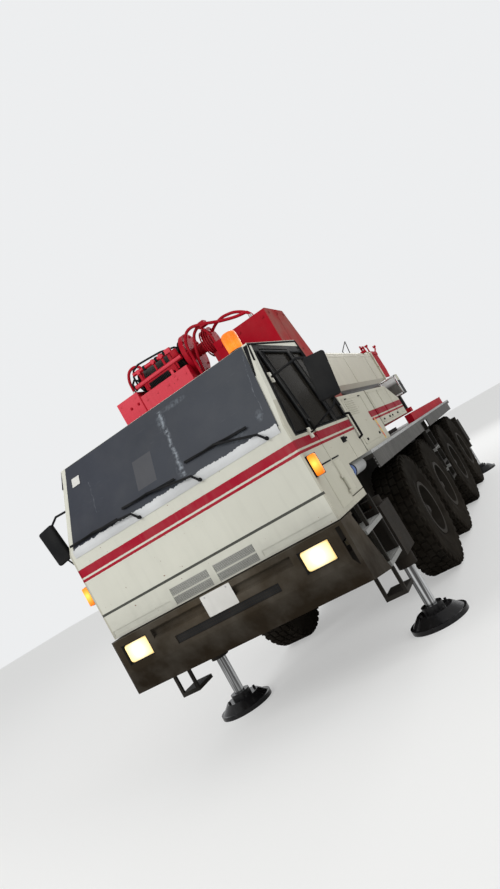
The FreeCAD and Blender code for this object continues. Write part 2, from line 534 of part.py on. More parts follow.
def cab(outside):
    """Hollow cab, its two doors as separate panels and all of its panes."""
    inside = cab_form("CabInside", "CabWall")
    walls = cut("CabWalls", outside, inside)
    openings = []
    windows = [side_window("QuarterWindow", None, "DoorFront - PillarWide"),
               side_window("DoorWindow", "DoorFront + PillarWide", "DoorRear - PillarWide"),
               side_window("RearQuarter", "DoorRear + PillarWide", "CabRear - PillarWide")]
    screen = slab("ScreenHole", "XZ", [
        ("-CabHalf + CabWall + ScreenEdge/2", "CabWaist + ScreenEdge"),
        ("CabHalf - CabWall - ScreenEdge/2", "CabWaist + ScreenEdge"),
        ("RoofHalf - CabWall", "RoofFrontHigh - ScreenEdge"),
        ("-RoofHalf + CabWall", "RoofFrontHigh - ScreenEdge")], ("-ScreenEdge", "RoofFront + ScreenEdge/2"))
    back = box("RearHole", ("-RearWindowHalf", "RearWindowHalf"), ("CabRear - 2 * CabWall", "CabRear + CabWall"),
               ("RearWindowLow", "RearWindowTop"))
    for side, sign in SIDES:
        openings.append(door_space("DoorHole" + side, sign, "0"))
    shell = cut("CabOpen", walls, *(openings + windows + [screen, back]))
    pins, barrels = [], {"left": [], "right": []}
    bores = {"left": [], "right": []}
    for side, sign in SIDES:
        axis = ("%d * (CabHalf + PanelGap)" % sign, "DoorFront + PanelGap")
        for level in ("HingeLow", "HingeHigh"):
            tag = side + level
            reach = "(HingeHalf + HingeLeaf/2)"
            pins.append(rod("Pin" + tag, "Z", "HingePin", (level + " - " + reach, level + " + " + reach), axis))
            corners = [("CabHalf - PanelGap", "DoorFront - HingeLeaf"), ("CabHalf - PanelGap", "DoorFront - HingePin"),
                       ("CabHalf + PanelGap - HingePin", "DoorFront - HingePin"),
                       ("CabHalf + PanelGap - HingePin", "DoorFront + PanelGap + HingePin"),
                       ("CabHalf + PanelGap + HingePin", "DoorFront + PanelGap + HingePin"),
                       ("CabHalf + PanelGap + HingePin", "DoorFront - HingeLeaf")]
            for end, low, high in (("Up", " + HingeHalf + SlideSeat", " + " + reach),
                                   ("Down", " - " + reach, " - HingeHalf - SlideSeat")):
                pins.append(slab("Bracket%s%s" % (end, tag), "XY", [
                    ("%d * (%s)" % (sign, across), back) for across, back in corners],
                    (level + low, level + high)))
            span = (level + " - HingeHalf", level + " + HingeHalf")
            barrels[side].append(rod("HingeBarrel" + tag, "Z", "HingeRadius", span, axis))
            barrels[side].append(moved_rail("Leaf" + tag, sign, (
                ("CabHalf - PanelGap", "CabHalf + PanelGap"),
                ("DoorFront + PanelGap", "DoorFront + PanelGap + HingeLeaf"), span)))
            bores[side].append(rod("HingeBore" + tag, "Z", "HingePin + PinPlay",
                                   (level + " - HingeHalf - 1", level + " + HingeHalf + 1"), axis))
    pressed = [box("Seam", ("-CabHalf - 1", "CabHalf + 1"), ("-1", "PressDeep"),
                   ("SeamHigh - SeamHalf", "SeamHigh + SeamHalf"))]
    for side, sign in SIDES:
        for level in ("0", "GrilleStep"):
            pressed.append(moved_rail("Grille%s%s" % (side, level), sign, (
                ("GrilleInner", "GrilleOuter"), ("-1", "GrilleDeep"), ("GrilleLow + " + level, "GrilleHigh + " + level))))
        pressed.append(moved_rail("Press" + side, sign, (
            ("PressInner", "PressOuter"), ("-1", "PressDeep"), ("PressLow", "PressHigh"))))
    keep("cab_shell", cut("CabShell", joined("CabSum", shell, *pins), *pressed))
    pane_shell = cut("PaneShell", cab_form("PaneOuter", "PaneDepth"),
                     cab_form("PaneInner", "PaneDepth + PaneThick"))
    panes = [common("Pane%d" % i, pane_shell, hole) for i, hole in
             enumerate((windows[0], windows[2], screen, back))]
    keep("cab_glass", group("CabGlass", *panes))
    for side, sign in SIDES:
        panel = door_space("DoorBlank" + side, sign, "PanelGap")
        leaf = joined("DoorLeaf" + side, common("DoorPanel" + side, walls, panel), *barrels[side])
        keep("door_" + side, cut("Door" + side, leaf, windows[1], *bores[side]))
        half = moved_rail("PaneSide" + side, sign, (("0", "CabHalf + CabWall"), ("0", "CabRear"),
                                                    ("CabLow", "RoofHigh")))
        keep("door_glass_" + side, common("DoorGlass" + side, pane_shell, windows[1], half))


def cab_interior():
    """Two seats, the dashboard and the steering wheel's column, standing on the cab floor."""
    floor = "CabLow + CabWall"
    parts = []
    parts.append(slab("Dash", "YZ", [("CabWall", floor), ("CabWall + 60", floor), ("CabWall + 60", "CabWaist - 300"),
                      ("CabWall + 350", "CabWaist - 250"), ("CabWall + 350", "CabWaist - 120"),
                      ("CabWall + 120", "CabWaist - 60"), ("CabWall", "CabWaist - 60")],
                      ("CabWall*2 - CabHalf", "CabHalf - CabWall*2")))
    for side, sign in SIDES:
        middle = "%d * CabHalf / 2" % sign
        base = "SkirtHigh - CabWall + 20"
        parts.append(slab("Seat" + side, "YZ", [
            ("SkirtRear - 250", floor), ("SkirtRear - 60", floor), ("SkirtRear - 60", base + " + 100"),
            ("SkirtRear + 170", base + " + 100"), ("SkirtRear + 330", base + " + 800"),
            ("SkirtRear + 210", base + " + 820"), ("SkirtRear + 60", base + " + 240"),
            ("SkirtRear - 400", base + " + 260"), ("SkirtRear - 400", base + " + 100"),
            ("SkirtRear - 250", base + " + 100")], (middle + " - 240", middle + " + 240")))
    column = slab("Column", "YZ", [
        ("CabWall + 350", "CabWaist - 200"), ("CabWall + 500", "CabWaist - 120"),
        ("CabWall + 488", "CabWaist - 96"), ("CabWall + 340", "CabWaist - 170")],
        ("CabHalf/2 - 30", "CabHalf/2 + 30"))
    ring = doc.addObject("Part::Torus", "WheelRing")
    bind(ring, Radius1="HelmRadius", Radius2="HelmTube")
    ring.Placement = FreeCAD.Placement(FreeCAD.Vector(), FreeCAD.Rotation(FreeCAD.Vector(1, 0, 0), 28))
    place(ring, "CabHalf/2", "CabWall + 494", "CabWaist - 108")
    spoke = box("WheelSpoke", ("CabHalf/2 - HelmRadius", "CabHalf/2 + HelmRadius"), ("CabWall + 480", "CabWall + 508"),
                ("CabWaist - 118", "CabWaist - 98"))
    keep("cab_interior", joined("CabInterior", *(parts + [column, ring, spoke])))


def bumper():
    """A pressed bumper with a sloping apron, lamp pockets and closed ends."""
    wall = "BumperWall"
    top = "CabLow - BumperGap"
    skin = slab("BumperSkin", "YZ", [
        ("TopRear", top), ("-NoseReach", top), ("-NoseReach", "BumperLow"),
        ("ApronSet - NoseReach", "ApronLow"), ("ApronRear", "ApronRearLow"),
        ("ApronRear", "ApronRearLow + BumperWall"), ("ApronSet + BumperWall - NoseReach", "ApronLow + BumperWall"),
        ("BumperWall - NoseReach", "BumperLow + BumperWall/2"), ("BumperWall - NoseReach", top + " - " + wall),
        ("TopRear", top + " - " + wall)], ("-BumperHalf", "BumperHalf"))
    groove = slab("Channel", "YZ", [
        ("-NoseReach - 1", "ChannelLow"), ("ChannelDeep - NoseReach", "ChannelLow + ChannelDeep/2"),
        ("ChannelDeep - NoseReach", "ChannelHigh - ChannelDeep/2"), ("-NoseReach - 1", "ChannelHigh")],
        ("-ChannelHalf", "ChannelHalf"))
    backing = slab("ChannelBack", "YZ", [
        ("BumperWall/2 - NoseReach", "ChannelLow - BumperWall"), ("ChannelDeep + BumperWall - NoseReach", "ChannelLow"),
        ("ChannelDeep + BumperWall - NoseReach", "ChannelHigh"), ("BumperWall/2 - NoseReach", "ChannelHigh + BumperWall")],
        ("-ChannelHalf - BumperWall", "ChannelHalf + BumperWall"))
    parts = [skin, backing]
    for side, sign in SIDES:
        parts.append(slab("BumperEnd" + side, "YZ", [
            ("-NoseReach", top), ("-NoseReach", "BumperLow"), ("ApronSet - NoseReach", "ApronLow"),
            ("ApronRear", "ApronRearLow"), ("ApronRear/2", top)],
            ordered(("BumperHalf - BumperWall", "BumperHalf"), sign)))
    body = joined("BumperSum", *parts)
    tools = [groove]
    tools.append(box("MeshRecess", ("-MeshHalf", "MeshHalf"), ("-NoseReach - 1", "MeshDeep - NoseReach"),
                     ("MeshLow", "MeshHigh")))
    for side, sign in SIDES:
        tools.append(moved_rail("LampPocket" + side, sign, (
            ("LampPlace - LampHalf", "LampPlace + LampHalf"), ("-NoseReach - 20", "BumperWall + 5 - NoseReach"),
            ("LampLow", "LampHigh"))))
        points = [("%d * (BumperHalf - 90)" % sign, "-NoseReach - 10"),
                  ("%d * (BumperHalf + 10)" % sign, "-NoseReach - 10"),
                  ("%d * (BumperHalf + 10)" % sign, "90 - NoseReach")]
        tools.append(slab("CornerTrim" + side, "XY", points, ("ApronRearLow - 20", top + " + 20")))
    keep("bumper", cut("Bumper", body, *tools))


def lamps():
    """Headlamps in the bumper's pockets, corner indicators and the roof beacon."""
    made = []
    for side, sign in SIDES:
        made.append(moved_rail("Headlamp" + side, sign, (
            ("LampPlace - LampHalf", "LampPlace + LampHalf"), ("8 - NoseReach", "LampDeep - NoseReach"),
            ("LampLow", "LampHigh"))))
        made.append(moved_rail("Signal" + side, sign, (
            ("CabHalf", "CabHalf + SignalWide - 10"), ("10", "10 + SignalDeep"), ("SignalLow", "SignalHigh"))))
    roof = "RoofFrontHigh + (RoofHigh - RoofFrontHigh) * (BeaconBack - RoofFront) / (CabRear - RoofFront)"
    made.append(rod("Beacon", "Z", "BeaconRadius", ("(%s) + 4" % roof, "(%s) + BeaconHigh" % roof),
                    ("BeaconPlace", "BeaconBack")))
    keep("lamps", group("Lamps", *made))


def mirrors(outside):
    """Mirror heads on two stays that end on the cab's side."""
    made = []
    for side, sign in SIDES:
        head = moved_rail("MirrorHead" + side, sign, (
            ("MirrorPlace - MirrorWide/2", "MirrorPlace + MirrorWide/2"),
            ("MirrorBack", "MirrorBack + MirrorDeep"), ("MirrorLow", "MirrorHigh")))
        post = rod("MirrorPost" + side, "Z", "ArmRadius", ("MirrorLow - 60", "MirrorHigh + 60"),
                   ("%d * MirrorPlace" % sign, "MirrorBack + MirrorDeep + ArmRadius/2"))
        arms = [rod("MirrorArm%s%s" % (level, side), "X", "ArmRadius", ordered((root, "MirrorPlace"), sign),
                    ("MirrorBack + MirrorDeep + ArmRadius/2", high))
                for level, high, root in (("Up", "MirrorHigh + 50", "RoofHalf"),
                                          ("Down", "MirrorLow - 50", "RoofHalf"))]
        made.append(cut("Mirror" + side, joined("MirrorSum" + side, head, post, *arms), outside))
    keep("mirrors", group("Mirrors", *made))


def steps():
    """Boarding steps under each door and a rung ladder between the second and third axles."""
    made = []
    for side, sign in SIDES:
        parts = []
        for name, at in (("Front", "StepFront"), ("Rear", "StepRear - StepPost")):
            low = "TreadLow" if name == "Front" else "TreadMid"
            parts.append(moved_rail("StepPost%s%s" % (name, side), sign, (
                ("StepOuter - StepPost", "StepOuter"), (at, at + " + StepPost"), (low, "CabLow"))))
            parts.append(moved_rail("StepStay%s%s" % (name, side), sign, (
                ("StepInner", "StepInner + StepPost"), (at, at + " + StepPost"), (low, "CabLow"))))
        for high, front, rear in (("TreadHigh", "TreadFront", "StepRear"), ("TreadMid", "StepFront", "StepRear"),
                                  ("TreadLow", "StepFront", "StepFront + TreadShort")):
            parts.append(moved_rail("Tread%s%s" % (high, side), sign, (
                ("StepInner", "StepOuter"), (front, rear), (high, high + " + TreadThick"))))
        made.append(joined("Steps" + side, *parts))
        rails = []
        for name, at in (("Front", "LadderFront"), ("Rear", "LadderRear - StepPost")):
            rails.append(moved_rail("LadderRail%s%s" % (name, side), sign, (
                ("DeckHalf - 2*StepPost - LipThick", "DeckHalf - LipThick"), (at, at + " + StepPost"),
                ("LadderLow", "DeckTop - DeckPlate"))))
        for number in range(int(size("LadderRungs"))):
            level = "LadderLow + 20 + %d * (DeckTop - DeckPlate - LadderLow) / LadderRungs" % number
            rails.append(moved_rail("Rung%d%s" % (number, side), sign, (
                ("DeckHalf - 2*StepPost - LipThick", "DeckHalf - LipThick"), ("LadderFront", "LadderRear"),
                (level, level + " + TreadThick"))))
        made.append(joined("Ladder" + side, *rails))
    keep("steps", group("Steps", *made))


def power_unit():
    """The engine's cover, swept clear of the turning superstructure, and the engine inside."""
    outer = box("CoverOuter", ("-CabHalf", "CabHalf"), ("CoverFront", "HousingFront"), ("DeckTop", "CoverTop"))
    sweep = rod("CoverArc", "Z", "CoverSweep", ("DeckTop - 10", "CoverTop + 10"), ("0", "SlewPlace"))
    body = cut("CoverBody", outer, sweep)
    hollow = cut("CoverHollow", box("CoverInner", ("CoverWall - CabHalf", "CabHalf - CoverWall"),
                 ("CoverFront + CoverWall", "HousingFront"), ("DeckTop - 10", "CoverTop - CoverWall")),
                 rod("CoverInnerArc", "Z", "CoverSweep + CoverWall", ("DeckTop - 20", "CoverTop + 10"),
                     ("0", "SlewPlace")))
    keep("engine_cover", cut("EngineCover", body, hollow))
    keep("engine_block", box("EngineBlock", ("-EngineHalf", "EngineHalf"), ("EngineFront", "EngineRear"),
                             ("EngineLow", "EngineTop")))


def outriggers():
    """Telescoping beams with jack barrels in their heads, and jack rods with round pads."""
    for end, jack in (("front", "FrontJack"), ("rear", "RearJack")):
        for side, sign in SIDES:
            tag = end.capitalize() + side
            middle = "%s - %d * BeamShift" % (jack, sign)
            level = ("BeamMiddle - BeamHigh/2", "BeamMiddle + BeamHigh/2")
            beam = moved_rail("BeamOuter" + tag, sign, (
                ("-BeamInner", "HeadFrom + 1"), (middle + " - BeamWide/2", middle + " + BeamWide/2"), level))
            hollow = moved_rail("BeamHollow" + tag, sign, (
                ("-BeamInner - 1", "HeadFrom"),
                (middle + " - BeamWide/2 + BeamWall", middle + " + BeamWide/2 - BeamWall"),
                (level[0] + " + BeamWall", level[1] + " - BeamWall")))
            head = moved_rail("BeamHead" + tag, sign, (
                ("HeadFrom", "HeadTo"), (jack + " - HeadHalf", jack + " + HeadHalf"), (level[0], "HeadHigh")))
            at = ("%d * JackPlace" % sign, jack)
            barrel = rod("JackBarrel" + tag, "Z", "JackBarrel", ("JackBarrelLow", "JackBarrelHigh"), at)
            bore = rod("JackBore" + tag, "Z", "JackRod + PinPlay", ("JackBarrelLow - 1", "JackBarrelHigh - 30"), at)
            keep("beam_%s_%s" % (end, side),
                 cut("Beam" + tag, joined("BeamSum" + tag, cut("BeamTube" + tag, beam, hollow), head, barrel), bore))
            parts = [rod("JackRod" + tag, "Z", "JackRod", ("PadThick", "JackRodHigh"), at),
                     rod("Pad" + tag, "Z", "PadRadius", ("0", "PadThick"), at),
                     rod("Collar" + tag, "Z", "CollarRadius", ("PadThick", "CollarHigh"), at),
                     cone("Dome" + tag, "DomeRadius", "DomeTop", ("PadThick - 1", "DomeHigh"), at)]
            for turn, ways in enumerate(((1, 1), (-1, 1), (-1, -1), (1, -1))):
                bolt_at = ("(%s) + %d * PadBoltPlace / sqrt(2)" % (at[0], ways[0]),
                           "(%s) + %d * PadBoltPlace / sqrt(2)" % (at[1], ways[1]))
                parts.append(rod("PadBolt%d%s" % (turn, tag), "Z", "PadBolt", ("DomeHigh - 1", "DomeHigh + 2 * PadBolt"),
                                 bolt_at))
            keep("jack_%s_%s" % (end, side), joined("Jack" + tag, *parts))


def turntable():
    """Slewing base, its two side plates, the boom's pivot pin and the cylinder's foot lugs."""
    parts = [
        rod("UpperRing", "Z", "RingRadius", ("RingTop + RingPlay", "BaseLow"), ("0", "SlewPlace")),
        rod("Spigot", "Z", "SpigotRadius", ("RingTop - SpigotDeep", "BaseLow"), ("0", "SlewPlace")),
        box("BasePlate", ("-SideHalf", "SideHalf"), ("HousingFront", "BaseRear"), ("BaseLow", "BaseTop")),
        box("HouseBracket", ("-HouseOuter + 60", "-SideHalf"), ("HouseFront + 60", "HouseRear - 60"),
            ("BaseLow", "HouseLow")),
        box("LampBracket", ("SideHalf - 1", "CabHalf - WorkLampWide/2 + WorkLampPost"),
            ("WorkLampFront", "WorkLampFront + 2 * WorkLampPost"), ("BaseLow", "BaseTop")),
        rod("PivotPin", "X", "PivotRadius", ("-SideHalf", "SideHalf"), ("PivotPlace", "PivotHigh")),
    ]
    for side, sign in SIDES:
        span = ordered(("SideHalf - SideThick", "SideHalf"), sign)
        parts.append(slab("SidePlate" + side, "YZ", [
            ("TailRear", "TailLow"), ("HousingFront", "TailLow"), ("HousingFront", "BaseLow"),
            ("BaseRear", "BaseLow"), ("BaseRear", "BaseTop + 140"), ("FootPlace + 300", "HousingTop - 80"),
            ("PivotPlace + 260", "PivotHigh + 160"), ("PivotPlace + 120", "PivotHigh + 260"),
            ("PivotPlace - 160", "PivotHigh + 260"), ("TailRear", "TailDeck - 60")], span))
        parts.append(slab("FootLug" + side, "YZ", [
            ("FootPlace - 170", "BaseTop - 5"), ("FootPlace + 170", "BaseTop - 5"),
            ("FootPlace + 80", "FootHigh + 90"), ("FootPlace - 80", "FootHigh + 90")],
            ordered(("EyeHalf + LugGap", "EyeHalf + LugGap + LugThick"), sign)))
    parts.append(rod("FootPin", "X", "FootPin", ("-(EyeHalf + LugGap + LugThick)", "EyeHalf + LugGap + LugThick"),
                     ("FootPlace", "FootHigh")))
    keep("turntable", joined("Turntable", *parts))


def side_housings():
    """White housings beside the turntable; the left one slopes away at its rear."""
    left = slab("HousingLeft", "YZ", [
        ("HousingFront", "HousingLow"), ("HousingRear", "HousingLow"), ("HousingRear", "HousingRearTop"),
        ("HousingBend", "HousingTop"), ("HousingFront", "HousingTop")], ("SideHalf", "CabHalf"))
    right = box("HousingRight", ("-CabHalf", "-SideHalf"), ("HousingFront", "HousingShort"),
                ("HousingLow", "HousingTop"))
    lamp = box("WorkLamp", ("CabHalf - WorkLampWide", "CabHalf"), ("WorkLampFront", "WorkLampFront + WorkLampDeep"),
               ("WorkLampLow", "WorkLampHigh"))
    post = box("WorkLampPost", ("CabHalf - WorkLampWide/2 - WorkLampPost/2", "CabHalf - WorkLampWide/2 + WorkLampPost/2"),
               ("WorkLampFront + WorkLampPost/2", "WorkLampFront + WorkLampPost*3/2"), ("BaseTop", "WorkLampLow + 1"))
    keep("side_housings", group("SideHousings", left, right, joined("WorkLampSum", lamp, post)))


def tail():
    """Ballast across the tail with a stepped tank on the left and a locker on the right."""
    lower = box("Ballast", ("-TailRight", "TailLeft"), ("TailFront", "TailRear"), ("TailLow", "TailDeck"))
    left = slab("TankSide", "YZ", [
        ("TailFront", "TailLow"), ("TailFoot", "TailLow"), ("TailKnee", "TailDeck"),
        ("TailRoofRear", "TailTop"), ("TailFront", "TailTop")], ("SideHalf + TailGap", "TailLeft"))
    inner = box("TankInner", ("TailInner", "SideHalf + TailGap"), ("TailFront", "TailRear"), ("TailDeck", "TailTop"))
    right = box("Locker", ("-TailRight", "-TailLocker"), ("TailFront", "TailRoofRear"), ("TailLow", "TailTop"))
    keep("counterweight", joined("Counterweight", lower, left, inner, right))


def hose_line(depth, points):
    """A hose's points, each across and above the tank's top; None is the top of the ballast."""
    levels = {None: "TailDeck", 0: "TailTop + SlideSeat"}
    return [(str(across), "TailFront + %d" % depth, levels.get(high, "TailTop + %s" % high)) for across, high in points]


def winch():
    """Hoist winch: cheeks, gear case and motor on the tail, with the drum between them."""
    axis = ("WinchPlace", "WinchHigh")
    cheeks = []
    for name, far, near in (("Out", "WinchRight", "WinchRight - CheekThick"),
                            ("In", "WinchLeft + CheekThick", "WinchLeft")):
        cheeks.append(slab("Cheek" + name, "YZ", [
            ("TailFront", "TailDeck"), ("TailRear", "TailDeck"), ("WinchPlace + CheekRadius", "WinchSill"),
            ("WinchPlace + CheekRadius", "WinchHigh + CheekRadius/2"),
            ("WinchPlace + CheekRadius/2", "WinchHigh + CheekRadius"),
            ("WinchPlace - CheekRadius/2", "WinchHigh + CheekRadius"),
            ("WinchPlace - CheekRadius", "WinchLip"), ("TailFront", "WinchLip")],
            ("-(%s)" % far, "-(%s)" % near)))
    front = box("WinchFront", ("-WinchRight", "-WinchLeft"), ("TailFront", "TailFront + CheekThick"),
                ("TailDeck", "WinchLip"))
    gear = rod("GearCase", "X", "GearRadius", ("-WinchLeft", "GearWide - WinchLeft"), axis)
    shaft = rod("MotorShaft", "X", "MotorShaft", ("GearWide - WinchLeft", "MotorFrom"), axis)
    corner = "MotorHalf/2"
    motor = slab("Motor", "XZ", [
        ("MotorFrom", "WinchHigh - " + corner), ("(MotorFrom+MotorTo)/2 - 25", "WinchHigh - MotorHalf"),
        ("(MotorFrom+MotorTo)/2 + 25", "WinchHigh - MotorHalf"), ("MotorTo", "WinchHigh - " + corner),
        ("MotorTo", "WinchHigh + " + corner), ("(MotorFrom+MotorTo)/2 + 25", "WinchHigh + MotorHalf"),
        ("(MotorFrom+MotorTo)/2 - 25", "WinchHigh + MotorHalf"), ("MotorFrom", "WinchHigh + " + corner)],
        ("WinchPlace - MotorDeep/2", "WinchPlace + MotorDeep/2"))
    middle = "(MotorFrom + MotorTo)/2"
    stem = box("MotorStem", (middle + " - StemHalf", middle + " + StemHalf"),
               ("WinchPlace - MotorDeep/2", "TailRear - TailGap"), ("TailDeck", "WinchHigh - MotorHalf + 5"))
    pipe_at = ("TailFront + GuardPipeBack", "GuardPipeHigh")
    guard = [rod("GuardPipe", "X", "GuardPipe", ("-WinchRight", "-(WinchLeft + CheekThick/2)"), pipe_at),
             box("GuardPlate", ("-(WinchRight - GuardBarInset)", "-(WinchLeft + GuardBarInset)"),
                 ("TailFront + CheekThick/2", "TailFront + CheekThick"),
                 ("GuardPipeHigh - GuardPlateHigh", "GuardPipeHigh - GuardPipe/2"))]
    for tag, across in (("Out", "-(WinchRight - GuardBarInset)"), ("In", "-(WinchLeft + GuardBarInset)")):
        guard.append(rod("GuardBar" + tag, "Z", "GuardBar", ("WinchLip - GuardPlateHigh", "GuardPipeHigh"),
                         (across, "TailFront + CheekThick")))
    hoses = [
        tube("HoseOuter", hose_line(100, [(-100, None), (-100, -170), (-105, 130), (-82, 245), (-16, 330), (76, 347),
                                          (206, 304), (440, 193), (640, 125), (790, 100), (790, 0)]), "HoseRadius"),
        tube("HoseInner", hose_line(165, [(-92, None), (-92, -170), (-64, 30), (-18, 157), (30, 270), (110, 318),
                                          (200, 300)]), "HoseRadius"),
        tube("HoseThin", hose_line(150, [(100, 325), (170, 270), (215, 180), (229, 80), (229, None)]),
             "HoseThin"),
        tube("HoseUpper", hose_line(330, [(190, 210), (280, 265), (400, 290), (550, 260), (660, 196), (745, 110),
                                          (745, 0)]), "HoseRadius"),
        tube("HoseLoop", hose_line(150, [(-1050, 0), (-1050, 130), (-1045, 270), (-985, 370), (-880, 385), (-800, 330)])
             + [("-790", "TailFront + 60", "TailTop + 210"), ("-785", "TailFront + GuardPipeBack", "GuardPipeHigh")],
             "HoseRadius"),
        box("HoseBlock", ("180", "250"), ("TailFront + 85", "TailFront + 185"), ("TailTop + 270", "TailTop + 335"))]
    body = joined("WinchSum", front, gear, shaft, motor, stem, *(cheeks + guard + hoses))
    bore = rod("WinchBore", "X", "DrumShaft + PinPlay", ("-WinchRight - 1", "CheekThick/2 - WinchLeft"), axis)
    keep("winch_frame", cut("WinchFrame", body, bore))
    inner = ("CheekThick + LugGap - WinchRight", "-(WinchLeft + CheekThick + LugGap)")
    drum = [rod("DrumCore", "X", "DrumCore", inner, axis),
            rod("DrumShaft", "X", "DrumShaft", ("-WinchRight", "-WinchLeft"), axis),
            rod("FlangeOut", "X", "DrumFlange", (inner[0], inner[0] + " + FlangeThick"), axis),
            rod("FlangeIn", "X", "DrumFlange", (inner[1] + " - FlangeThick", inner[1]), axis)]
    keep("winch_drum", joined("WinchDrum", *drum))


def boom_line(inset_side, inset_low, inset_high):
    """The boom's eight-sided cross section, brought in by the given amounts."""
    half = "(BoomHalf - (%s))" % inset_side
    low = "(BoomLow + (%s))" % inset_low
    high = "(BoomTop - (%s))" % inset_high
    small = "BoomCorner/2"
    return [("BoomCorner - " + half, low), (half + " - BoomCorner", low), (half, low + " + BoomCorner"),
            (half, high + " - " + small), (half + " - " + small, high), (small + " - " + half, high),
            ("-" + half, high + " - " + small), ("-" + half, low + " + BoomCorner")]


def boom():
    """Four nested box sections; each inner one rests on the floor of the one around it."""
    bodies = []
    for number, name in enumerate(("boom_base", "boom_second", "boom_third", "boom_tip")):
        side = "%d * (BoomWall + SlidePlay)" % number
        low = "%d * (BoomWall + SlideSeat)" % number
        high = "%d * (BoomWall + SlidePlay)" % number
        heel = "BoomHeel" if number == 0 else "InnerHeel + %d * EndStep" % number
        end = "BoomEnd + %d * EndStep" % number
        tag = name.split("_")[1].capitalize()
        outer = slab("Boom%sOuter" % tag, "XZ", boom_line(side, low, high), (heel, end))
        bore = slab("Boom%sBore" % tag, "XZ", boom_line(side + " + BoomWall", low + " + BoomWall",
                    high + " + BoomWall"), (heel + (" + BoomWall" if number == 0 else " - 1"), end + " + 1"))
        bodies.append((name, tag, cut("Boom%sTube" % tag, outer, bore)))
    pivot = rod("PivotBore", "X", "PivotRadius + PinPlay", ("-BoomHalf - 10", "BoomHalf + 10"),
                ("PivotPlace", "PivotHigh"))
    lugs = []
    for side, sign in SIDES:
        lugs.append(slab("EyeLug" + side, "YZ", [
            ("EyePlace - 260", "BoomLow + BoomWall/2"), ("EyePlace - 90", "EyeHigh - 90"),
            ("EyePlace + 90", "EyeHigh - 90"), ("EyePlace + 260", "BoomLow + BoomWall/2")],
            ordered(("EyeHalf + LugGap", "EyeHalf + LugGap + LugThick"), sign)))
    collar = cut("BoomCollar", slab("CollarOuter", "XZ", boom_line("-CollarRise", "-CollarRise", "-CollarRise"),
                 ("BoomEnd - CollarDeep", "BoomEnd")),
                 slab("CollarInner", "XZ", boom_line("BoomWall/2", "BoomWall/2", "BoomWall/2"),
                      ("BoomEnd - CollarDeep - 1", "BoomEnd + 1")))
    base = joined("BoomBaseSum", bodies[0][2], collar, *lugs)
    keep("boom_base", cut("BoomBase", base, pivot))
    keep("boom_second", bodies[1][2])
    keep("boom_third", bodies[2][2])
    tip_side = "(BoomHalf - 3 * (BoomWall + SlidePlay))"
    head_from = "BoomEnd + 3 * EndStep"
    head = []
    for side, sign in SIDES:
        head.append(slab("HeadCheek" + side, "YZ", [
            (head_from, "HeadLow"), ("SheavePlace + 60", "HeadLow"), ("HeadRear + 60", "SheaveHigh"),
            ("HeadRear", "HeadTop"), (head_from, "HeadTop")],
            ordered((tip_side + " - HeadPlate/2", tip_side + " + HeadPlate"), sign)))
    head.append(box("HeadWeb", ("-" + tip_side, tip_side), (head_from, head_from + " + HeadPlate"),
                    ("HeadLow", "HeadTop")))
    head.append(rod("SheavePin", "X", "SheavePin", ("-" + tip_side, tip_side), ("SheavePlace", "SheaveHigh")))
    rope_line = [("-SheaveHalf", "0")]
    pitch = "(2 * SheaveHalf / SheaveCount)"
    for number in range(int(size("SheaveCount"))):
        start = "%d * %s - SheaveHalf" % (number, pitch)
        rope_line += [(start, "SheaveRadius"), (start + " + SheaveRim", "SheaveRadius"),
                      ("%s + %s/2" % (start, pitch), "SheaveRadius - SheaveGroove"),
                      ("%s + %s - SheaveRim" % (start, pitch), "SheaveRadius")]
    rope_line += [("SheaveHalf", "SheaveRadius"), ("SheaveHalf", "0")]
    head.append(turned("Sheaves", rope_line, ("SheavePlace", "SheaveHigh")))
    head.append(box("HeadNose", ("-SheaveHalf", "SheaveHalf"), ("HeadRear - 100", "HeadTip"),
                    ("HeadTop - 160", "HeadTop - 100")))
    head.append(box("HeadTie", ("-" + tip_side, tip_side),
                    ("HeadRear - 100", "HeadRear - 40"), ("HeadTop - 160", "HeadTop - 60")))
    jib_bore = rod("JibPinBore", "X", "JibPinRadius", ("-BoomHalf", "BoomHalf"), ("JibPinPlace", "JibPinHigh"))
    keep("boom_tip", cut("BoomTip", joined("BoomTipSum", bodies[3][2], *head), jib_bore))
    hook_ring = doc.addObject("Part::Torus", "HookRing")
    bind(hook_ring, Radius1="HookRadius", Radius2="HookThick")
    hook_ring.Angle3 = 270
    hook_ring.Placement = FreeCAD.Placement(FreeCAD.Vector(), FreeCAD.Rotation(FreeCAD.Vector(0, 1, 0), 90))
    place(hook_ring, "0", "SheavePlace", "SheaveHigh - SheaveRadius - BlockHigh - BlockDrop/2 - HookRadius + HookThick/2")
    block = joined("HookBlock",
                   box("BlockBody", ("-BlockHalf", "BlockHalf"), ("SheavePlace - 200", "SheavePlace + 200"),
                       ("SheaveHigh - SheaveRadius - BlockHigh", "SheaveHigh - SheaveRadius - 0.3")),
                   rod("BlockShank", "Z", "HookThick", ("SheaveHigh - SheaveRadius - BlockHigh - BlockDrop/2",
                                                        "SheaveHigh - SheaveRadius - BlockHigh + 5"), ("0", "SheavePlace")),
                   hook_ring)
    keep("hook_block", block)


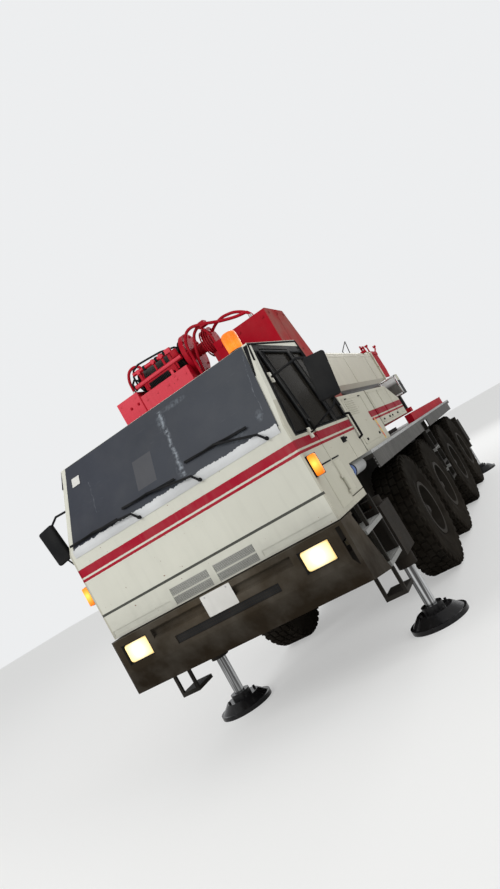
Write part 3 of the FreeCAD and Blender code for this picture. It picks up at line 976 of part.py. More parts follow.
def luffing_cylinder():
    """Barrel on the turntable's lugs and rod under the boom, on the line from foot to eye."""
    rise = "atan2(EyeHigh - FootHigh; EyePlace - FootPlace)"
    length = "sqrt((EyePlace - FootPlace)^2 + (EyeHigh - FootHigh)^2)"

    def bar(name, radius, start, end):
        item = doc.addObject("Part::Cylinder", name)
        item.Placement = FreeCAD.Placement(FreeCAD.Vector(), TURNS["Y"])
        bind(item, Radius=radius, Height="%s - (%s)" % (end, start))
        item.setExpression(".Placement.Base.y", full(start))
        return item

    def cross(name, radius, half, along):
        item = doc.addObject("Part::Cylinder", name)
        item.Placement = FreeCAD.Placement(FreeCAD.Vector(), TURNS["X"])
        bind(item, Radius=radius, Height="2 * %s" % half)
        item.setExpression(".Placement.Base.x", full("-" + half))
        item.setExpression(".Placement.Base.y", full(along))
        return item

    barrel = cut("BarrelTube", joined("BarrelSum", bar("BarrelBody", "BarrelRadius", "BarrelFrom", "BarrelLong"),
                 bar("BarrelNeck", "NeckRadius", "FootEye/2", "BarrelFrom + RodRoom"),
                 cross("BarrelEye", "FootEye", "EyeHalf", "0")),
                 bar("BarrelBore", "RodRadius + PinPlay", "RodFrom - RodRoom", "BarrelLong + 1"),
                 cross("BarrelPinBore", "FootPin + PinPlay", "(EyeHalf + 1)", "0"))
    rod_bar = joined("RodTube", bar("RodBody", "RodRadius", "RodFrom", length + " - EyeRadius/2"),
                     cross("RodEye", "EyeRadius", "EyeHalf", length))
    for node, item in (("luff_barrel", barrel), ("luff_rod", rod_bar)):
        item.Placement = FreeCAD.Placement(FreeCAD.Vector(), FreeCAD.Rotation(FreeCAD.Vector(1, 0, 0), 10))
        item.setExpression(".Placement.Rotation.Angle", full(rise))
        place(item, "0", "FootPlace", "FootHigh")
        keep(node, item)


def operator_cab():
    """Hollow operator's cab on the right, its panes and its sliding door."""
    side_view = [("HouseFront", "HouseLow"), ("HouseRear", "HouseLow"), ("HouseRear", "HouseSill"),
                 ("HouseRear - HouseSlope", "HouseHigh"), ("HouseFront", "HouseHigh")]

    def form(name, amount):
        return slab(name, "YZ", inset(side_view, amount),
                    ("(%s) - HouseOuter" % amount, "-HouseInner - (%s)" % amount))

    walls = cut("HouseWalls", form("HouseOutside", "0"), form("HouseInside", "HouseWall"))
    pillar_top = "HouseHigh - HousePillar"
    door_top = "SlideDoorHigh - HousePillar"
    slope = "HouseSlope / (HouseHigh - HouseSill)"
    side_hole = slab("HouseSideHole", "YZ", [
        ("HouseFront + HousePillar", "HouseSill"), ("SlideDoorFrom - HousePillar", "HouseSill"),
        ("SlideDoorFrom - HousePillar", door_top), ("HouseFront + HousePillar", door_top)],
        ("-HouseOuter - 10", "-HouseInner + 10"))
    front_hole = box("HouseFrontHole", ("HousePillar - HouseOuter", "-HouseInner - HousePillar"),
                     ("HouseRear - HouseSlope - HouseWall*2", "HouseRear + 10"), ("HouseSill + 60", pillar_top))
    roof_hole = box("HouseRoofHole", ("HousePillar - HouseOuter", "-HouseInner - HousePillar"),
                    ("HouseRear - HouseSlope - 900", "HouseRear - HouseSlope - HousePillar"),
                    ("HouseHigh - HouseWall - 1", "HouseHigh + 1"))
    door_hole = box("HouseDoorHole", ("-HouseOuter - 10", "HouseWall + 10 - HouseOuter"),
                    ("SlideDoorFrom + 40", "SlideDoorTo - 40 - %s * 300" % slope),
                    ("SlideDoorLow + 40", "SlideDoorHigh - 40"))
    runners = [box("Runner" + tag, ("SlideSeat - HouseOuter - SlideDoorGap", "HouseWall/2 - HouseOuter"),
                   ("SlideDoorFrom - SlideDoorTravel", "SlideDoorTo - SlideDoorTravel / 2"),
                   (low, low + " + RunnerHigh"))
               for tag, low in (("Low", "SlideDoorLow + 5"), ("High", "SlideDoorHigh - 5 - RunnerHigh"))]
    seat = slab("OperatorSeat", "YZ", [
        ("HouseFront + 300", "HouseLow + HouseWall/2"), ("HouseFront + 500", "HouseLow + HouseWall/2"),
        ("HouseFront + 500", "HouseLow + 400"), ("HouseFront + 800", "HouseLow + 400"),
        ("HouseFront + 780", "HouseLow + 520"), ("HouseFront + 320", "HouseLow + 500"),
        ("HouseFront + 200", "HouseLow + 1080"), ("HouseFront + 80", "HouseLow + 1060"),
        ("HouseFront + 220", "HouseLow + 400"), ("HouseFront + 300", "HouseLow + 400")],
        ("SeatShift - HouseOuter", "SeatShift + SeatWide - HouseOuter"))
    body = cut("HouseOpen", walls, side_hole, front_hole, roof_hole, door_hole)
    keep("operator_cab", joined("OperatorCab", body, seat, *runners))
    pane_shell = cut("HousePaneShell", form("HousePaneOuter", "PaneDepth"),
                     form("HousePaneInner", "PaneDepth + PaneThick"))
    panes = [common("HousePane%d" % i, pane_shell, hole) for i, hole in enumerate((side_hole, front_hole, roof_hole))]
    keep("operator_glass", group("OperatorGlass", *panes))
    outer_face = "HouseOuter + SlideDoorGap"
    panel = box("SlideDoorPanel", ("-(%s + SlideDoorThick)" % outer_face, "-(%s)" % outer_face),
                ("SlideDoorFrom", "SlideDoorTo - %s * 300" % slope), ("SlideDoorLow", "SlideDoorHigh"))
    hole = box("SlideDoorHole", ("-(%s + SlideDoorThick + 1)" % outer_face, "-(%s - 1)" % outer_face),
               ("SlideDoorFrom + HousePillar", "SlideDoorTo - HousePillar - %s * 300" % slope),
               ("HouseSill", door_top))
    keep("operator_door", cut("OperatorDoor", panel, hole))


chassis()
deck()
axles()
knuckles()
wheels()
cab_outside = cab_form("CabOutside", "0")
cab(cab_outside)
cab_interior()
bumper()
lamps()
mirrors(cab_outside)
steps()
power_unit()
outriggers()
turntable()
side_housings()
tail()
winch()
boom()
luffing_cylinder()
operator_cab()

doc.recompute()
for item in doc.Objects:
    if "Invalid" in item.State or "Error" in item.State:
        raise RuntimeError("%s did not build: %s" % (item.Name, item.State))
for node, item in pieces:
    if item.Shape.isNull() or not item.Shape.isValid() or not item.Shape.Solids:
        raise RuntimeError("%s has no sound shape" % node)
    item.Shape.exportStep("parts/%s.step" % node)
    print("%-22s %2d solids %10.4f m3" % (node, len(item.Shape.Solids), item.Shape.Volume / 1e9))
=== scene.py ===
# %% [markdown]
# # A four-axle mobile crane
# The crane is parked on its wheels with the jacks set down. Its construction comes
# ready made, as solids that already move on their joints. This lesson gives each of
# them a finish, and models the small pieces that make a crane look like one: lamps,
# wipers, grilles, tread, rope, bolts and mirrors.

# %% Load the frame
import math

import bmesh
import bpy
from mathutils import Matrix, Vector
from mathutils import noise as lumps


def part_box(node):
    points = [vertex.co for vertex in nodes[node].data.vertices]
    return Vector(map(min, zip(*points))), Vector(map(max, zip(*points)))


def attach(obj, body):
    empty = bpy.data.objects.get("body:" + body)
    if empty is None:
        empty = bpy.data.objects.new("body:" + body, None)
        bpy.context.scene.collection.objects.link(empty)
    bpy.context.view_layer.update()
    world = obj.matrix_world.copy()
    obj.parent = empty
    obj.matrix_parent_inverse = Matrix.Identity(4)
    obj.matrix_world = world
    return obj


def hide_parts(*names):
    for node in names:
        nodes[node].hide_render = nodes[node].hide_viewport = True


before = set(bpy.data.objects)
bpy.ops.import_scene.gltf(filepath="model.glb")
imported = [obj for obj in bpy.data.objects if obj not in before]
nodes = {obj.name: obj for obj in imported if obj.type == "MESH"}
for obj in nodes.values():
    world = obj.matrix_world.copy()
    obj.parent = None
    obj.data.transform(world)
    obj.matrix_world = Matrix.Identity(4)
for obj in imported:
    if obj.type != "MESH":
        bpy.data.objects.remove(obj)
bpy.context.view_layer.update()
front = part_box("cab_shell")[0].y
SIDES = (("left", 1), ("right", -1))
print("nodes:", len(nodes), "cab front at y =", round(front, 3))


def back(distance):
    """The y of a place that many metres behind the cab's front face."""
    return front + distance


# %% [markdown]
# ## The camera
# The picture was taken by hand, low down and close to the left front corner, with the
# phone turned by 30 degrees. A camera turns by its three axes: where it looks, what is
# to its right and what is above it. Building those from yaw, pitch and roll keeps each
# angle readable.

# %% Camera
CAMERA_PLACE = Vector((2.993, back(-5.176), 1.836))
YAW, PITCH, ROLL = math.radians(21.98), math.radians(4.63), math.radians(-30.07)
FOCAL_PIXELS, LONG_SIDE_PIXELS, SENSOR = 680.6, 889, 36.0

level = math.cos(PITCH)
ahead = Vector((-math.sin(YAW) * level, math.cos(YAW) * level, math.sin(PITCH)))
level_right = Vector((math.cos(YAW), math.sin(YAW), 0))
level_up = level_right.cross(ahead)
right = level_right * math.cos(ROLL) + level_up * math.sin(ROLL)
up = level_up * math.cos(ROLL) - level_right * math.sin(ROLL)

camera_data = bpy.data.cameras.new("camera")
camera_data.sensor_width = SENSOR
camera_data.lens = FOCAL_PIXELS / LONG_SIDE_PIXELS * SENSOR
camera = bpy.data.objects.new("camera", camera_data)
camera.matrix_world = Matrix((right, up, -ahead)).transposed().to_4x4()
camera.location = CAMERA_PLACE
bpy.context.scene.collection.objects.link(camera)
bpy.context.scene.camera = camera
print("lens:", round(camera_data.lens, 2), "mm")

# %% [markdown]
# ## Small helpers for node trees
# A finish is a small network of nodes. Writing each node as one call, with its inputs
# given by name, keeps such a network as readable as a formula. An input takes a number,
# a colour or the output of another node.

# %% Node helpers


def add(tree, kind, inputs=None, **settings):
    """A new node with its settings; an input takes a number, a colour or another node's socket."""
    made = tree.nodes.new(kind)
    for key, value in settings.items():
        setattr(made, key, value)
    for key, value in (inputs or {}).items():
        if isinstance(value, bpy.types.NodeSocket):
            tree.links.new(value, made.inputs[key])
        else:
            made.inputs[key].default_value = value
    return made


def calc(tree, operation, a, b=0.0):
    """One step of arithmetic on two values."""
    return add(tree, "ShaderNodeMath", {0: a, 1: b}, operation=operation).outputs[0]


def times(tree, first, *others):
    """The product of all the values."""
    for other in others:
        first = calc(tree, "MULTIPLY", first, other)
    return first


def plus(tree, first, second):
    """The sum of two values."""
    return calc(tree, "ADD", first, second)


def minus(tree, first, second):
    """The first value less the second."""
    return calc(tree, "SUBTRACT", first, second)


def above(tree, value, limit):
    """1 where the value is greater than the limit, and 0 elsewhere."""
    return calc(tree, "GREATER_THAN", value, limit)


def below(tree, value, limit):
    """1 where the value is less than the limit, and 0 elsewhere."""
    return calc(tree, "LESS_THAN", value, limit)


def within(tree, value, low, high):
    """1 where the value lies between two limits, and 0 elsewhere."""
    return times(tree, above(tree, value, low), below(tree, value, high))


def fade(tree, value, low, high):
    """0 below the low value, 1 above the high one and a straight slope between."""
    return add(tree, "ShaderNodeMapRange", {"Value": value, "From Min": low, "From Max": high}).outputs[0]


def blend(tree, amount, first, second):
    """A colour between two, by an amount from 0 to 1."""
    first, second = (colour + (1,) if isinstance(colour, tuple) else colour for colour in (first, second))
    return add(tree, "ShaderNodeMix", {0: amount, 6: first, 7: second}, data_type="RGBA").outputs[2]


def noise(tree, spot, size, detail=4.0, stretch=(1, 1, 1), warp=0.0):
    """Cloudy noise whose blotches are about that many metres across, stretched along the axes."""
    scale = tuple(1 / (size * way) for way in stretch)
    scaled = add(tree, "ShaderNodeMapping", {"Vector": spot, "Scale": scale}).outputs[0]
    inputs = {"Vector": scaled, "Scale": 1.0, "Detail": detail, "Distortion": warp}
    return add(tree, "ShaderNodeTexNoise", inputs).outputs["Fac"]


def own_place(tree):
    """Where a point lies on its own piece, which moves with the piece."""
    return add(tree, "ShaderNodeTexCoord").outputs["Object"]


print("node helpers ready")

# %% [markdown]
# ## Floor and light
# A pale floor and a bright, even sky show every colour about as it is written. The sky
# that lights the crane is weaker than the one the camera sees, so white paint keeps its
# shape. Large area lamps add soft shadows. The floor glows a little for the camera's
# rays alone, which makes it pale and leaves the shadow on it.

# %% Floor and light
FLOOR_HALF, FLOOR_COLOUR, FLOOR_GLOW = 70.0, (0.80, 0.80, 0.79, 1), 0.42
SKY_SEEN, SKY_LIGHT = 0.94, 0.62


def camera_sees(tree):
    """1 for rays that reach the camera straight, off metal or through glass."""
    path = add(tree, "ShaderNodeLightPath")
    seen = calc(tree, "MAXIMUM", path.outputs["Is Camera Ray"], path.outputs["Is Glossy Ray"])
    return calc(tree, "MAXIMUM", seen, path.outputs["Is Transmission Ray"])


floor_mesh = bmesh.new()
bmesh.ops.create_grid(floor_mesh, x_segments=1, y_segments=1, size=FLOOR_HALF)
floor_data = bpy.data.meshes.new("floor")
floor_mesh.to_mesh(floor_data)
floor_mesh.free()
floor = bpy.data.objects.new("floor", floor_data)
bpy.context.scene.collection.objects.link(floor)
floor_finish = bpy.data.materials.new("floor")
floor_finish.use_nodes = True
floor_tree = floor_finish.node_tree
floor_shader = floor_tree.nodes["Principled BSDF"]
floor_shader.inputs["Base Color"].default_value = FLOOR_COLOUR
floor_shader.inputs["Roughness"].default_value = 0.8
glow = add(floor_tree, "ShaderNodeEmission", {"Color": (0.95, 0.95, 0.94, 1), "Strength": 1.0})
floor_mix = add(floor_tree, "ShaderNodeMixShader", {
    0: times(floor_tree, camera_sees(floor_tree), FLOOR_GLOW),
    1: floor_shader.outputs[0], 2: glow.outputs[0]})
floor_tree.links.new(floor_mix.outputs[0], floor_tree.nodes["Material Output"].inputs["Surface"])
floor_data.materials.append(floor_finish)

world = bpy.data.worlds.new("sky")
bpy.context.scene.world = world
world.use_nodes = True
sky = world.node_tree
for old in list(sky.nodes):
    sky.nodes.remove(old)
strength = plus(sky, times(sky, camera_sees(sky), SKY_SEEN - SKY_LIGHT), SKY_LIGHT)
background = add(sky, "ShaderNodeBackground", {"Color": (0.90, 0.91, 0.92, 1), "Strength": strength})
add(sky, "ShaderNodeOutputWorld", {"Surface": background.outputs[0]})
bpy.context.scene.view_settings.view_transform = "Standard"

LIT_SPOT = Vector((0, 0, 1.5))
LAMPS = (
    # name, place, size, watts
    ("key_lamp", (-5.0, back(-9.0), 9.0), 7.0, 900),
    ("fill_lamp", (11.0, back(1.0), 7.0), 9.0, 420),
    ("back_lamp", (2.0, back(19.0), 9.0), 8.0, 650),
)
for lamp_name, place, size, watts in LAMPS:
    lamp_data = bpy.data.lights.new(lamp_name, "AREA")
    lamp_data.size = size
    lamp_data.energy = watts
    lamp = bpy.data.objects.new(lamp_name, lamp_data)
    lamp.location = place
    lamp.rotation_euler = (LIT_SPOT - Vector(place)).to_track_quat("-Z", "Y").to_euler()
    bpy.context.scene.collection.objects.link(lamp)
print("lamps:", len(LAMPS))

# %% [markdown]
# ## Paint that has been outdoors
# Painted steel is never one flat colour. A slow noise shifts the tone from panel to
# panel, vertical streaks follow the rain, dirt gathers low down where the wheels throw
# it, and small chips show the primer. One function builds all of that, and each finish
# sets how much of it there is. Object coordinates are used, so the pattern stays on its
# piece when the crane moves.

# %% Paint
MUD, DUST = (0.040, 0.033, 0.026), (0.36, 0.34, 0.30)


def finish(name, colour, rough=0.45, metal=0.0, mottle=0.08, streaks=0.10, mud=0.5, mud_top=1.5, dust=0.12,
           chips=0.0, chip_colour=(0.20, 0.10, 0.06), grain=0.0006, grain_size=0.02, gloss=0.16,
           pattern=None):
    """A weathered paint, metal or plastic; pattern may put its own colour over the base."""
    made = bpy.data.materials.new(name)
    made.use_nodes = True
    tree = made.node_tree
    shader = tree.nodes["Principled BSDF"]
    spot = own_place(tree)
    parts = add(tree, "ShaderNodeSeparateXYZ", {0: spot})
    tone = fade(tree, noise(tree, spot, 0.9, 6.0), 0.35, 0.70)
    paint = blend(tree, tone, tuple(c * (1 - 2.2 * mottle) for c in colour), colour)
    if pattern:
        paint = pattern(tree, parts, spot, paint)
    rain = fade(tree, noise(tree, spot, 0.05, 5.0, (1, 1, 16)), 0.52, 0.74)
    paint = blend(tree, times(tree, rain, streaks), paint, tuple(0.45 * c for c in colour))
    film = fade(tree, noise(tree, spot, 0.25, 8.0), 0.42, 0.72)
    paint = blend(tree, times(tree, film, dust), paint, DUST)
    low_down = fade(tree, parts.outputs["Z"], mud_top, 0.1)
    splash = times(tree, low_down, fade(tree, noise(tree, spot, 0.16, 9.0), 0.30, 0.62), mud)
    paint = blend(tree, splash, paint, MUD)
    if chips:
        flakes = fade(tree, noise(tree, spot, 0.035, 3.0), 0.735 - chips, 0.755 - chips)
        paint = blend(tree, flakes, paint, chip_colour)
    tree.links.new(paint, shader.inputs["Base Color"])
    fine = noise(tree, spot, grain_size, 6.0)
    sheen = plus(tree, plus(tree, times(tree, fine, 0.22), rough - 0.11), times(tree, splash, 0.35))
    tree.links.new(calc(tree, "MINIMUM", sheen, 1.0), shader.inputs["Roughness"])
    relief = add(tree, "ShaderNodeBump", {"Strength": 0.6, "Distance": grain, "Height": fine})
    tree.links.new(relief.outputs[0], shader.inputs["Normal"])
    shader.inputs["Metallic"].default_value = metal
    shader.inputs["Specular IOR Level"].default_value = gloss
    return made


# The second crimson is the band's crimson in painted shade, for the side walls.
CRIMSON, SHADED_SIDE_CRIMSON, BLACK = (0.33, 0.014, 0.030), (0.25, 0.009, 0.021), (0.007, 0.007, 0.007)
BAND, LINE, SEAM, WINDOWS = (2.050, 2.130), (2.007, 2.032), (1.637, 1.660), (2.158, 3.085)
WAIST, SCREEN_LEAN = 2.28, 0.512


def stripes(tree, parts, spot, paint):
    """Crimson band and line, painted shade that darkens and yellows the flanks and their band, black surrounds of side
    windows and the front's seam.
    """
    x, y, z = (parts.outputs[axis] for axis in "XYZ")
    outwards = calc(tree, "ABSOLUTE", x)
    level = plus(tree, z, times(tree, minus(tree, noise(tree, spot, 0.02, 3.0), 0.5), 0.006))
    lines = plus(tree, within(tree, level, *BAND), within(tree, level, *LINE))
    side = above(tree, outwards, 1.2305)
    outside = calc(tree, "MAXIMUM", side, below(tree, y, back(0.004)))
    between = within(tree, y, back(1.94), back(2.95))
    # Painted shade: the side walls, past 1.2305 m out, are drawn darker and yellower, and their band and line a darker
    # crimson.
    paint = blend(tree, times(tree, side, 0.30), paint, (0.16, 0.12, 0.04))
    paint = blend(tree, times(tree, lines, outside, minus(tree, 1.0, between)), paint,
                  blend(tree, side, CRIMSON, SHADED_SIDE_CRIMSON))
    lean = times(tree, calc(tree, "MAXIMUM", minus(tree, z, WAIST), 0.0), SCREEN_LEAN)
    surround = times(tree, above(tree, y, plus(tree, lean, back(0.095))), below(tree, y, back(1.925)),
                     within(tree, z, *WINDOWS), above(tree, outwards, 1.160))
    paint = blend(tree, surround, paint, BLACK)
    seam = times(tree, within(tree, z, *SEAM), below(tree, y, back(0.008)))
    paint = blend(tree, seam, paint, (0.090, 0.092, 0.080))
    lamp_case = times(tree, above(tree, y, back(6.10)), below(tree, z, 2.44))
    return blend(tree, lamp_case, paint, (0.020, 0.020, 0.020))


def dark_below(low, high, colour):
    """A pattern that turns to another colour between two heights, on the way down."""
    return lambda tree, parts, spot, paint: blend(tree, fade(tree, parts.outputs["Z"], high, low), paint, colour)


white_striped = finish("white_paint_with_stripes", (0.625, 0.620, 0.540), rough=0.38, mottle=0.035, streaks=0.07,
                       mud=0.55, mud_top=1.75, dust=0.07, chips=0.008, gloss=0.005, pattern=stripes)
white_plain = finish("white_paint", (0.63, 0.610, 0.520), mottle=0.05, streaks=0.12, mud=0.2, mud_top=1.4,
                     dust=0.10, chips=0.008)
# Near black below 2.78 m, on the boom's lower chamfer: painted shade on its underside.
boom_white = finish("boom_paint_with_painted_shade_below", (0.50, 0.470, 0.370), mottle=0.05, streaks=0.12, mud=0.0, dust=0.10,
                    chips=0.008, pattern=dark_below(2.770, 2.782, (0.030, 0.028, 0.025)))
red_paint = finish("red_paint", (0.43, 0.009, 0.021), rough=0.42, mottle=0.10, mud=0.05, mud_top=1.4, dust=0.03,
                   chips=0.014, chip_colour=(0.40, 0.07, 0.08), gloss=0.005)
print("paints:", white_striped.name, white_plain.name, boom_white.name, red_paint.name)

# %% [markdown]
# ## Steel, iron, rubber and plastic
# The frame and its beams are painted a dark grey that the road has turned brown. The
# tyres are black with a little mud in their lower parts, and the deck's edge is light
# grey sheet with dark mudguards under it.

# %% Other solid finishes


def tread_plate(tree, parts, spot, paint):
    """The raised lozenges of deck plate, drawn as slightly brighter worn tips."""
    turned = add(tree, "ShaderNodeMapping", {"Vector": spot, "Rotation": (0, 0, math.radians(45)),
                                             "Scale": (28, 28, 28)}).outputs[0]
    cells = add(tree, "ShaderNodeTexVoronoi", {"Vector": turned, "Scale": 1.0, "Randomness": 0.0})
    tips = times(tree, fade(tree, cells.outputs["Distance"], 0.34, 0.16), 0.35)
    return blend(tree, tips, paint, (0.60, 0.60, 0.59))


def deck_edge(tree, parts, spot, paint):
    """Light grey for the deck's rim and the air tank, dark grey for the mudguards under it."""
    guard = times(tree, below(tree, parts.outputs["Z"], 1.698), above(tree, parts.outputs["Y"], back(1.855)))
    return tread_plate(tree, parts, spot, blend(tree, guard, paint, (0.040, 0.038, 0.034)))


def light_treads(tree, parts, spot, paint):
    """Pale grey treads, at the heights of the two upper steps, on a dark frame."""
    z = parts.outputs["Z"]
    treads = plus(tree, within(tree, z, 1.149, 1.20), within(tree, z, 0.799, 0.85))
    return blend(tree, treads, paint, (0.26, 0.26, 0.25))


grey_paint = finish("grey_deck_paint", (0.40, 0.405, 0.40), rough=0.55, mottle=0.10, streaks=0.2, mud=0.55,
                    mud_top=1.9, dust=0.08, pattern=deck_edge)
dark_steel = finish("dark_frame_steel", (0.024, 0.021, 0.018), rough=0.6, gloss=0.03, mottle=0.18, mud_top=2.0,
                    dust=0.03, chips=0.014, chip_colour=(0.07, 0.03, 0.018))
step_steel = finish("grey_step_steel", (0.024, 0.022, 0.019), rough=0.55, gloss=0.03, mottle=0.15, mud=0.25,
                    mud_top=1.3, dust=0.04, pattern=light_treads)
tooth_steel = finish("worn_step_teeth", (0.33, 0.33, 0.32), mottle=0.15, mud=0.4, mud_top=1.3, dust=0.06)
cast_iron = finish("cast_iron", (0.040, 0.036, 0.032), rough=0.7, metal=0.4, mottle=0.2, streaks=0.0,
                   mud_top=1.6, dust=0.04, grain=0.0012, grain_size=0.008)
# Darker brown below 1.27 m, darkest at 1.0 m: painted shade under the bumper.
bumper_grey = finish("weathered_bumper_with_painted_shade_below", (0.060, 0.047, 0.032), rough=0.55, gloss=0.02, mottle=0.2, streaks=0.20,
                     mud_top=1.42, dust=0.10, grain=0.0005, grain_size=0.006,
                     pattern=dark_below(1.00, 1.27, (0.017, 0.012, 0.007)))
black_plastic = finish("black_plastic", (0.018, 0.0185, 0.0195), rough=0.50, gloss=0.005, mottle=0.1,
                       streaks=0.05, mud=0.25, mud_top=1.0, dust=0.03, grain=0.0003, grain_size=0.003)
rubber = finish("tyre_rubber", (0.0130, 0.0108, 0.0082), rough=0.80, gloss=0.01, mottle=0.15, streaks=0.0,
                mud=0.35, mud_top=1.3, dust=0.03, grain=0.0004, grain_size=0.004)
rim_paint = finish("rim_paint", (0.026, 0.023, 0.019), rough=0.5, gloss=0.02, mottle=0.15, streaks=0.0,
                   dust=0.04, chips=0.02, chip_colour=(0.10, 0.05, 0.03))
chrome = finish("hard_chrome", (0.66, 0.67, 0.68), rough=0.2, metal=1.0, mottle=0.06, streaks=0.05, mud=0.05,
                mud_top=0.6, dust=0.02, grain=0.00003)
silver_strip = finish("silver_sill", (0.70, 0.71, 0.71), rough=0.5, mottle=0.16, streaks=0.0, mud=0.0,
                      dust=0.10, grain=0.006, grain_size=0.016)
rope_steel = finish("greased_rope", (0.060, 0.055, 0.050), metal=0.7, mottle=0.2, streaks=0.0, mud=0.0,
                    dust=0.05, grain=0.0008, grain_size=0.004)
fabric = finish("seat_fabric", (0.040, 0.040, 0.044), rough=0.9, mottle=0.15, streaks=0.0, mud=0.0, dust=0.05,
                grain=0.0012, grain_size=0.003)
grille_grey = finish("grille_grey", (0.46, 0.46, 0.42), rough=0.5, mottle=0.10, mud=0.3, mud_top=1.6, dust=0.05)
plate_white = finish("blank_white_plate", (0.62, 0.61, 0.575), rough=0.5, mottle=0.03, streaks=0.08, mud=0.2,
                     dust=0.10)
sign_white = finish("blank_sign_sheet", (0.50, 0.485, 0.400), rough=0.5, gloss=0.01, mottle=0.03, streaks=0.08,
                    mud=0.2, dust=0.06)
zinc = finish("zinc_plated_steel", (0.42, 0.42, 0.41), metal=0.7, mottle=0.1, mud=0.3, mud_top=1.4, dust=0.1)
print("finishes:", len(bpy.data.materials))

# %% [markdown]
# ## Glass, lit lenses and the windscreen's film
# The side windows are tinted glass, so they are dark, smooth and a little clear. The
# lamps are lit, which a little emission of the lens's own colour shows, brightest at the
# lens's middle. The windscreen is covered by a dark weatherproof film with scratches and
# scuffs. The film is opaque, so it is a pattern over a dark plastic.

# %% Glass, lenses and film


def lens(name, colour, glow, core, strength, middles, reach, rib_scale=90.0):
    """A ribbed plastic lens, lit from behind and brightest near the given middles."""
    made = finish(name, colour, rough=0.2, mottle=0.03, streaks=0.05, mud=0.0, dust=0.05, grain=0.0001)
    tree = made.node_tree
    shader = tree.nodes["Principled BSDF"]
    spot = own_place(tree)
    ribs = add(tree, "ShaderNodeTexWave", {"Vector": spot, "Scale": rib_scale, "Distortion": 0.0},
               bands_direction="X").outputs["Fac"]
    relief = add(tree, "ShaderNodeBump", {"Strength": 0.5, "Distance": 0.002, "Height": ribs})
    tree.links.new(relief.outputs[0], shader.inputs["Normal"])
    near = None
    for middle in middles:
        away = add(tree, "ShaderNodeVectorMath", {0: spot, 1: middle}, operation="DISTANCE").outputs["Value"]
        near = away if near is None else calc(tree, "MINIMUM", near, away)
    light = times(tree, plus(tree, fade(tree, near, reach, 0.0), 0.35), plus(tree, times(tree, ribs, 0.15), 0.9))
    warm = blend(tree, fade(tree, near, reach * 0.75, reach * 0.1), glow, core)
    tree.links.new(warm, shader.inputs["Emission Color"])
    tree.links.new(times(tree, light, strength), shader.inputs["Emission Strength"])
    return made


SCUFFS = (
    # x at height 2.70, lean of x over height, half width, low end, high end, strength
    (0.166, -0.145, 0.030, 2.36, 3.03, 0.80),
    (1.104, 0.020, 0.006, 2.45, 3.02, 0.35),
    (-0.838, -0.100, 0.004, 2.52, 2.83, 0.30),
)
SMUDGES = (
    # middle in x and z, half size in x and z, strength
    (0.30, 3.010, 0.17, 0.035, 0.30), (0.12, 2.93, 0.06, 0.09, 0.35), (0.83, 2.41, 0.11, 0.07, 0.22),
    (1.07, 2.46, 0.04, 0.06, 0.35), (0.19, 2.44, 0.05, 0.09, 0.25),
)


def film_marks(tree, parts, spot, paint):
    """A paler left half, fine scratches, three scuffs, dusty smudges and one paler square patch."""
    x, z = parts.outputs["X"], parts.outputs["Z"]
    paint = blend(tree, times(tree, fade(tree, x, -0.9, 0.9), 0.45), paint, (0.085, 0.092, 0.100))
    scratches = fade(tree, noise(tree, spot, 0.012, 2.0, (14, 1, 1), 0.4), 0.70, 0.76)
    paint = blend(tree, times(tree, scratches, 0.16), paint, (0.16, 0.17, 0.19))
    speckle = fade(tree, noise(tree, spot, 0.030, 9.0), 0.38, 0.62)
    wander = times(tree, minus(tree, noise(tree, spot, 0.10, 3.0), 0.5), 0.07)
    for middle, lean, half, low, high, strength in SCUFFS:
        centre = plus(tree, times(tree, minus(tree, z, 2.70), lean), middle)
        away = calc(tree, "ABSOLUTE", plus(tree, minus(tree, x, centre), wander))
        mark = times(tree, fade(tree, away, half, 0.0), within(tree, z, low, high), speckle, strength)
        paint = blend(tree, mark, paint, (0.30, 0.33, 0.36))
    for middle_x, middle_z, half_x, half_z, strength in SMUDGES:
        across, upward = (calc(tree, "POWER", calc(tree, "DIVIDE", minus(tree, value, middle), half), 2.0)
                          for value, middle, half in ((x, middle_x, half_x), (z, middle_z, half_z)))
        patch = times(tree, fade(tree, plus(tree, across, upward), 1.0, 0.1), speckle, strength)
        paint = blend(tree, patch, paint, (0.24, 0.27, 0.30))
    square = times(tree, within(tree, x, -0.300, -0.075), within(tree, z, 2.470, 2.745))
    return blend(tree, times(tree, square, 0.16), paint, (0.22, 0.21, 0.20))


HEADLAMPS = ((0.975, back(-0.12), 1.24), (-0.975, back(-0.12), 1.24))
INDICATORS = ((1.295, back(0.01), 1.885), (-1.295, back(0.01), 1.885))
BEACON = (0.975, back(0.70), 3.20)
headlamp_lens = lens("lit_headlamp_lens", (0.80, 0.66, 0.34), (1.0, 0.62, 0.12), (1.0, 0.95, 0.72), 1.15,
                     HEADLAMPS, 0.24)
amber_lens = lens("lit_amber_lens", (0.80, 0.20, 0.01), (1.0, 0.20, 0.003), (1.0, 0.72, 0.12), 0.90,
                  INDICATORS + (BEACON,), 0.12, 140.0)
red_lens = finish("red_lamp_lens", (0.45, 0.01, 0.01), rough=0.18, mottle=0.05, streaks=0.05, mud=0.3,
                  mud_top=1.7, dust=0.06, grain=0.0002)
screen_film = finish("windscreen_film", (0.040, 0.044, 0.056), gloss=0.08, mottle=0.12, streaks=0.04, mud=0.0,
                     dust=0.025, grain_size=0.05, pattern=film_marks)
dark_glass = finish("tinted_glass", (0.018, 0.016, 0.013), rough=0.16, metal=0.06, gloss=0.0, streaks=0.0,
                    mud=0.0, dust=0.012, grain=0.00001)
dark_glass.node_tree.nodes["Principled BSDF"].inputs["Alpha"].default_value = 0.95
mirror_glass = finish("mirror_glass", (0.70, 0.73, 0.75), rough=0.10, metal=1.0, mottle=0.03, streaks=0.05,
                      mud=0.0, dust=0.03, grain=0.00005)
print("lens, film and glass finishes ready")

